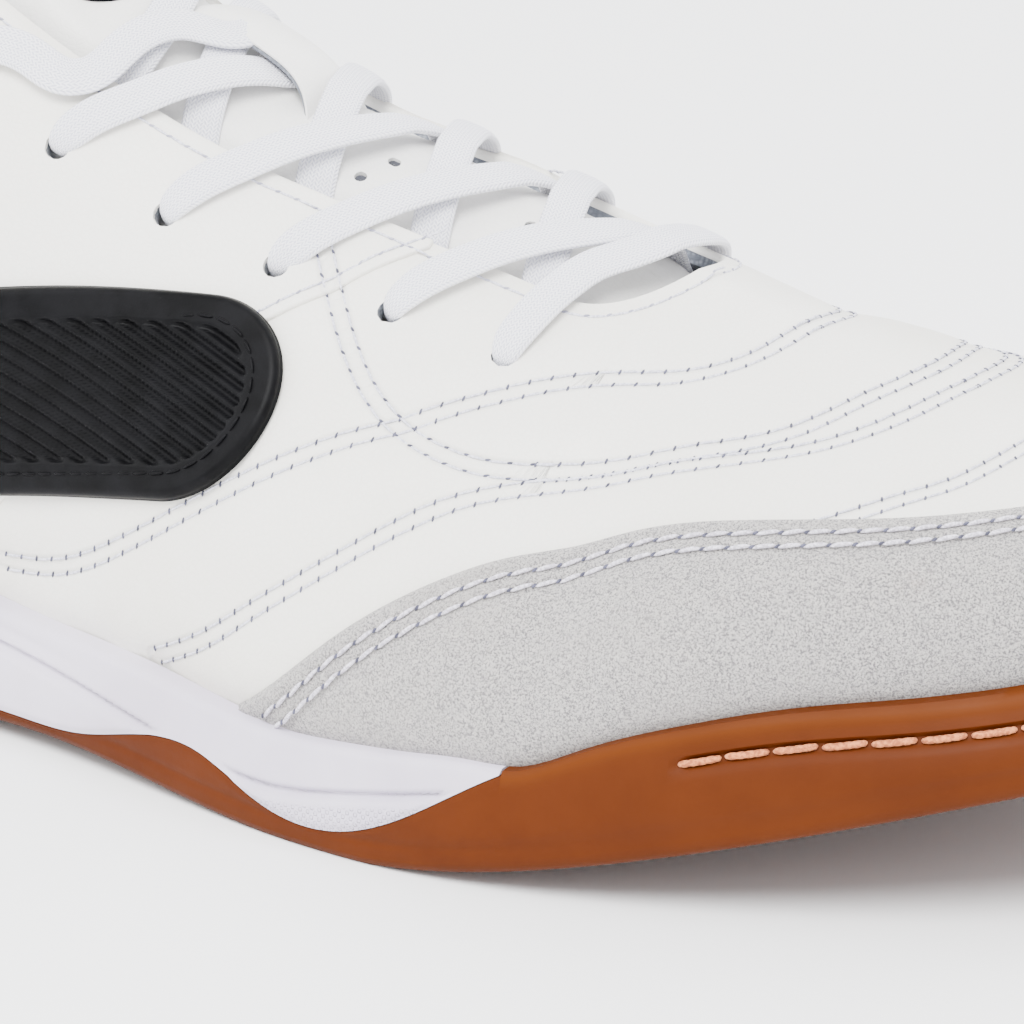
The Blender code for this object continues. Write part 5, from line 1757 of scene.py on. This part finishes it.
def rowOf(line, offset, lift=0.0, start=0, stop=None, extra=None):
    point = line["point"] + line["aside"] * offset
    rise = relief(point) + lift + (0 if extra is None else extra)
    point = point + line["normal"] * np.asarray(rise)[:, None]
    return point[start:stop], line["normal"][start:stop]


stitchRows = stitchTree()
pitch = stitching["pitch"]
uprightEnd = 118  # samples of the middle seam that stand upright
upperThread = threadShape("upperThread", pitch * 0.96, stitching["threadWidth"], stitching["bow"])
needleHole = threadShape("needleHoleShape", stitching["holeLength"], stitching["holeWidth"], 0.0, rings=5)
upperLines, uprightLines, faintLines = [], [], []
for name, sides in seamLines.items():
    for side, line in sides.items():
        count = len(line["point"])
        raised = overlayLift(*seamPath(seams[name], np.linspace(0, 1, count)))
        stop = count if side > 0 else count - 1  # both sides share the sample on the crest
        for offset in (-stitching["rowGap"] / 2, stitching["rowGap"] / 2):
            start = 2
            if name == "vampMiddle":
                uprightLines.append(rowOf(line, offset, stitching["lift"], start, uprightEnd, raised))
                start = uprightEnd
            upperLines.append(rowOf(line, offset, stitching["lift"], start, stop, raised))


def overlayRow(side):  # single row just inside the overlay's front edge
    line = curveOver(quarterEdge, side)
    return rowOf(line, side * overlay["rowInset"], overlay["thickness"] + stitching["lift"], 6, -6)


def openingRow(offset=0.0021):  # single row round the throat and the collar
    half = upperPlaces()
    open_ = half[alongOf(half) < last["throatEnd"] + 1e-6]
    place = np.concatenate([open_, -open_[-2:0:-1]])
    share = stopAt(place)
    point, normal = skinFrame(place, share)
    tangent = np.roll(point, -1, 0) - np.roll(point, 1, 0)
    out = unit(np.cross(tangent, normal))
    inner, _ = skinFrame(place, share - 0.02)
    out *= np.sign((out * (inner - point)).sum(1))[:, None]
    turnEnd = np.abs(alongOf(place) - last["throatEnd"]) < 1e-4
    out[turnEnd] = (1, 0, 0)
    raised = overlayLift(alongOf(place), share - 0.03)
    point = point + out * offset
    point = point + normal * (relief(point) + raised + stitching["lift"])[:, None]
    return np.concatenate([point, point[:1]]), np.concatenate([normal, normal[:1]])


faintLines += [overlayRow(1), overlayRow(-1), openingRow()]
upperRows = upperLines + uprightLines + faintLines
sew("upper_stitches", upperRows, upperThread, pitch, thread, "upper", shift=pitch / 2)
# dark marks of painted shade at the needle holes of each row
sew("vamp_needle_holes", upperLines, needleHole, pitch, holeShade, "upper", turn=1.05, uneven=0.3, seed=5)
sew("upright_needle_holes", uprightLines, needleHole, pitch, holeShade, "upper", turn=0.2, uneven=0.3, seed=8)
sew("edge_needle_holes", faintLines, needleHole, pitch, faintHoleShade, "upper", turn=0.3, uneven=0.3, seed=9)


def ovalRow(side, level, rise):  # row of stitches just inside the oval's border
    inset = oval["border"] - 0.0009
    radius = oval["height"] / 2 - inset
    straight = (oval["length"] - oval["height"]) / 2
    a = np.linspace(-math.pi / 2, math.pi / 2, 40)
    reach = straight + radius * np.cos(a)
    x = np.concatenate([reach, -reach, [straight]])
    y = np.concatenate([radius * np.sin(a), radius * np.sin(a[::-1]), [-radius]])
    along = oval["middle"] + x / last["length"]
    found = []
    for one, up in zip(along, y):
        run, share, centre = ovalRib(side, one, level, rise)
        found.append(np.interp(centre + up, run, share))
    point, normal = skinFrame(side * turnOf(along), np.array(found))
    return point + normal * (overlay["thickness"] + oval["thickness"] + 0.00010), normal


ovalThread = threadShape("ovalThread", 0.0021, 0.00040, 0.0001)
sew("oval_stitches", [ovalRow(*row[1:]) for row in ovalTable], ovalThread, 0.0026, black, "side_patch")
capPitch = 0.0031
capThread = threadShape("capThread", 0.0029, 0.00056, 0.00018)
capHole = threadShape("capHoleShape", 0.0008, 0.00042, 0.0, rings=5)
capLines = []
for offset in capRows:
    point = capEdge["point"] - capEdge["aside"] * offset
    point = point + capEdge["normal"] * (cap["lift"] + cap["thickness"] - stitching["lift"])
    capLines.append((point, capEdge["normal"]))
sew("cap_stitches", capLines, capThread, capPitch, suedeThread, "toe_cap", turn=0.12, shift=capPitch / 2)
# dark marks of painted shade at the cap's needle holes
sew("cap_needle_holes", capLines, capHole, capPitch, holeShade, "toe_cap", turn=0.5, uneven=0.3, seed=7)


def soleRow():  # thread in the channel round the toe
    climb = np.linspace(sole["channelStart"] + sole["channelEase"], 0.9995, 160)
    along = np.concatenate([climb, climb[::-1]])
    side = np.repeat([1, -1], len(climb))
    place = side * turnOf(along)
    height = rimHeight(place) - sole["channelDrop"]
    plan, out = outlinePoint(place, sideInset(place, height) + sole["channelDepth"] * 0.55)
    return np.column_stack([plan, height]), np.column_stack([out, 0 * height])


soleStitch = threadShape("soleStitch", 0.0054, 0.00086, 0.0002, sides=10, rings=30, twist=0.09, blunt=10)
sew("sole_stitches", [soleRow()], soleStitch, 0.0058, soleThread, "outsole", uneven=0.10, seed=11)
print("stitches made")

# floor, light and surroundings
stage = {"floor": srgb(250, 250, 251), "patches": srgb(249, 249, 249), "size": 6.0,
         "world": (0.97, 0.98, 1.0, 1), "worldStrength": 2.0}
lights = [  # name, place, target, size, power
    ("key", (0.35, -0.75, 1.15), (0.04, 0, 0.03), 0.9, 44),
    ("fill", (-0.9, -0.6, 0.7), (0.0, 0, 0.03), 1.2, 11),
    ("back", (0.2, 1.0, 0.9), (0.04, 0, 0.03), 1.2, 20),
]
floorMesh = bpy.data.meshes.new("floor")
s = stage["size"]
floorMesh.from_pydata([(-s, -s, 0), (s, -s, 0), (s, s, 0), (-s, s, 0)], [], [(0, 1, 2, 3)])
floorMaterial, build, shader, where = finish("paleFloor", 0.9)
mottled = build.blend(build.noise(where, 3.0), stage["floor"], stage["patches"])
build.feed(shader.inputs["Base Color"], mottled)
floor = addPiece("floor", floorMesh, floorMaterial, smooth=False)


def softLight(name, spot, target, size, power):
    light = bpy.data.lights.new(name, "AREA")
    light.shape = "DISK"
    light.size = size
    light.energy = power
    lamp = bpy.data.objects.new(name, light)
    lamp.location = spot
    lamp.rotation_euler = (Vector(target) - Vector(spot)).to_track_quat("-Z", "Y").to_euler()
    bpy.context.scene.collection.objects.link(lamp)


for light in lights:
    softLight(*light)
world = bpy.data.worlds.new("whiteRoom")
bpy.context.scene.world = world
world.use_nodes = True
world.node_tree.nodes["Background"].inputs[0].default_value = stage["world"]
world.node_tree.nodes["Background"].inputs[1].default_value = stage["worldStrength"]

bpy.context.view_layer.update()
print("all pieces made")
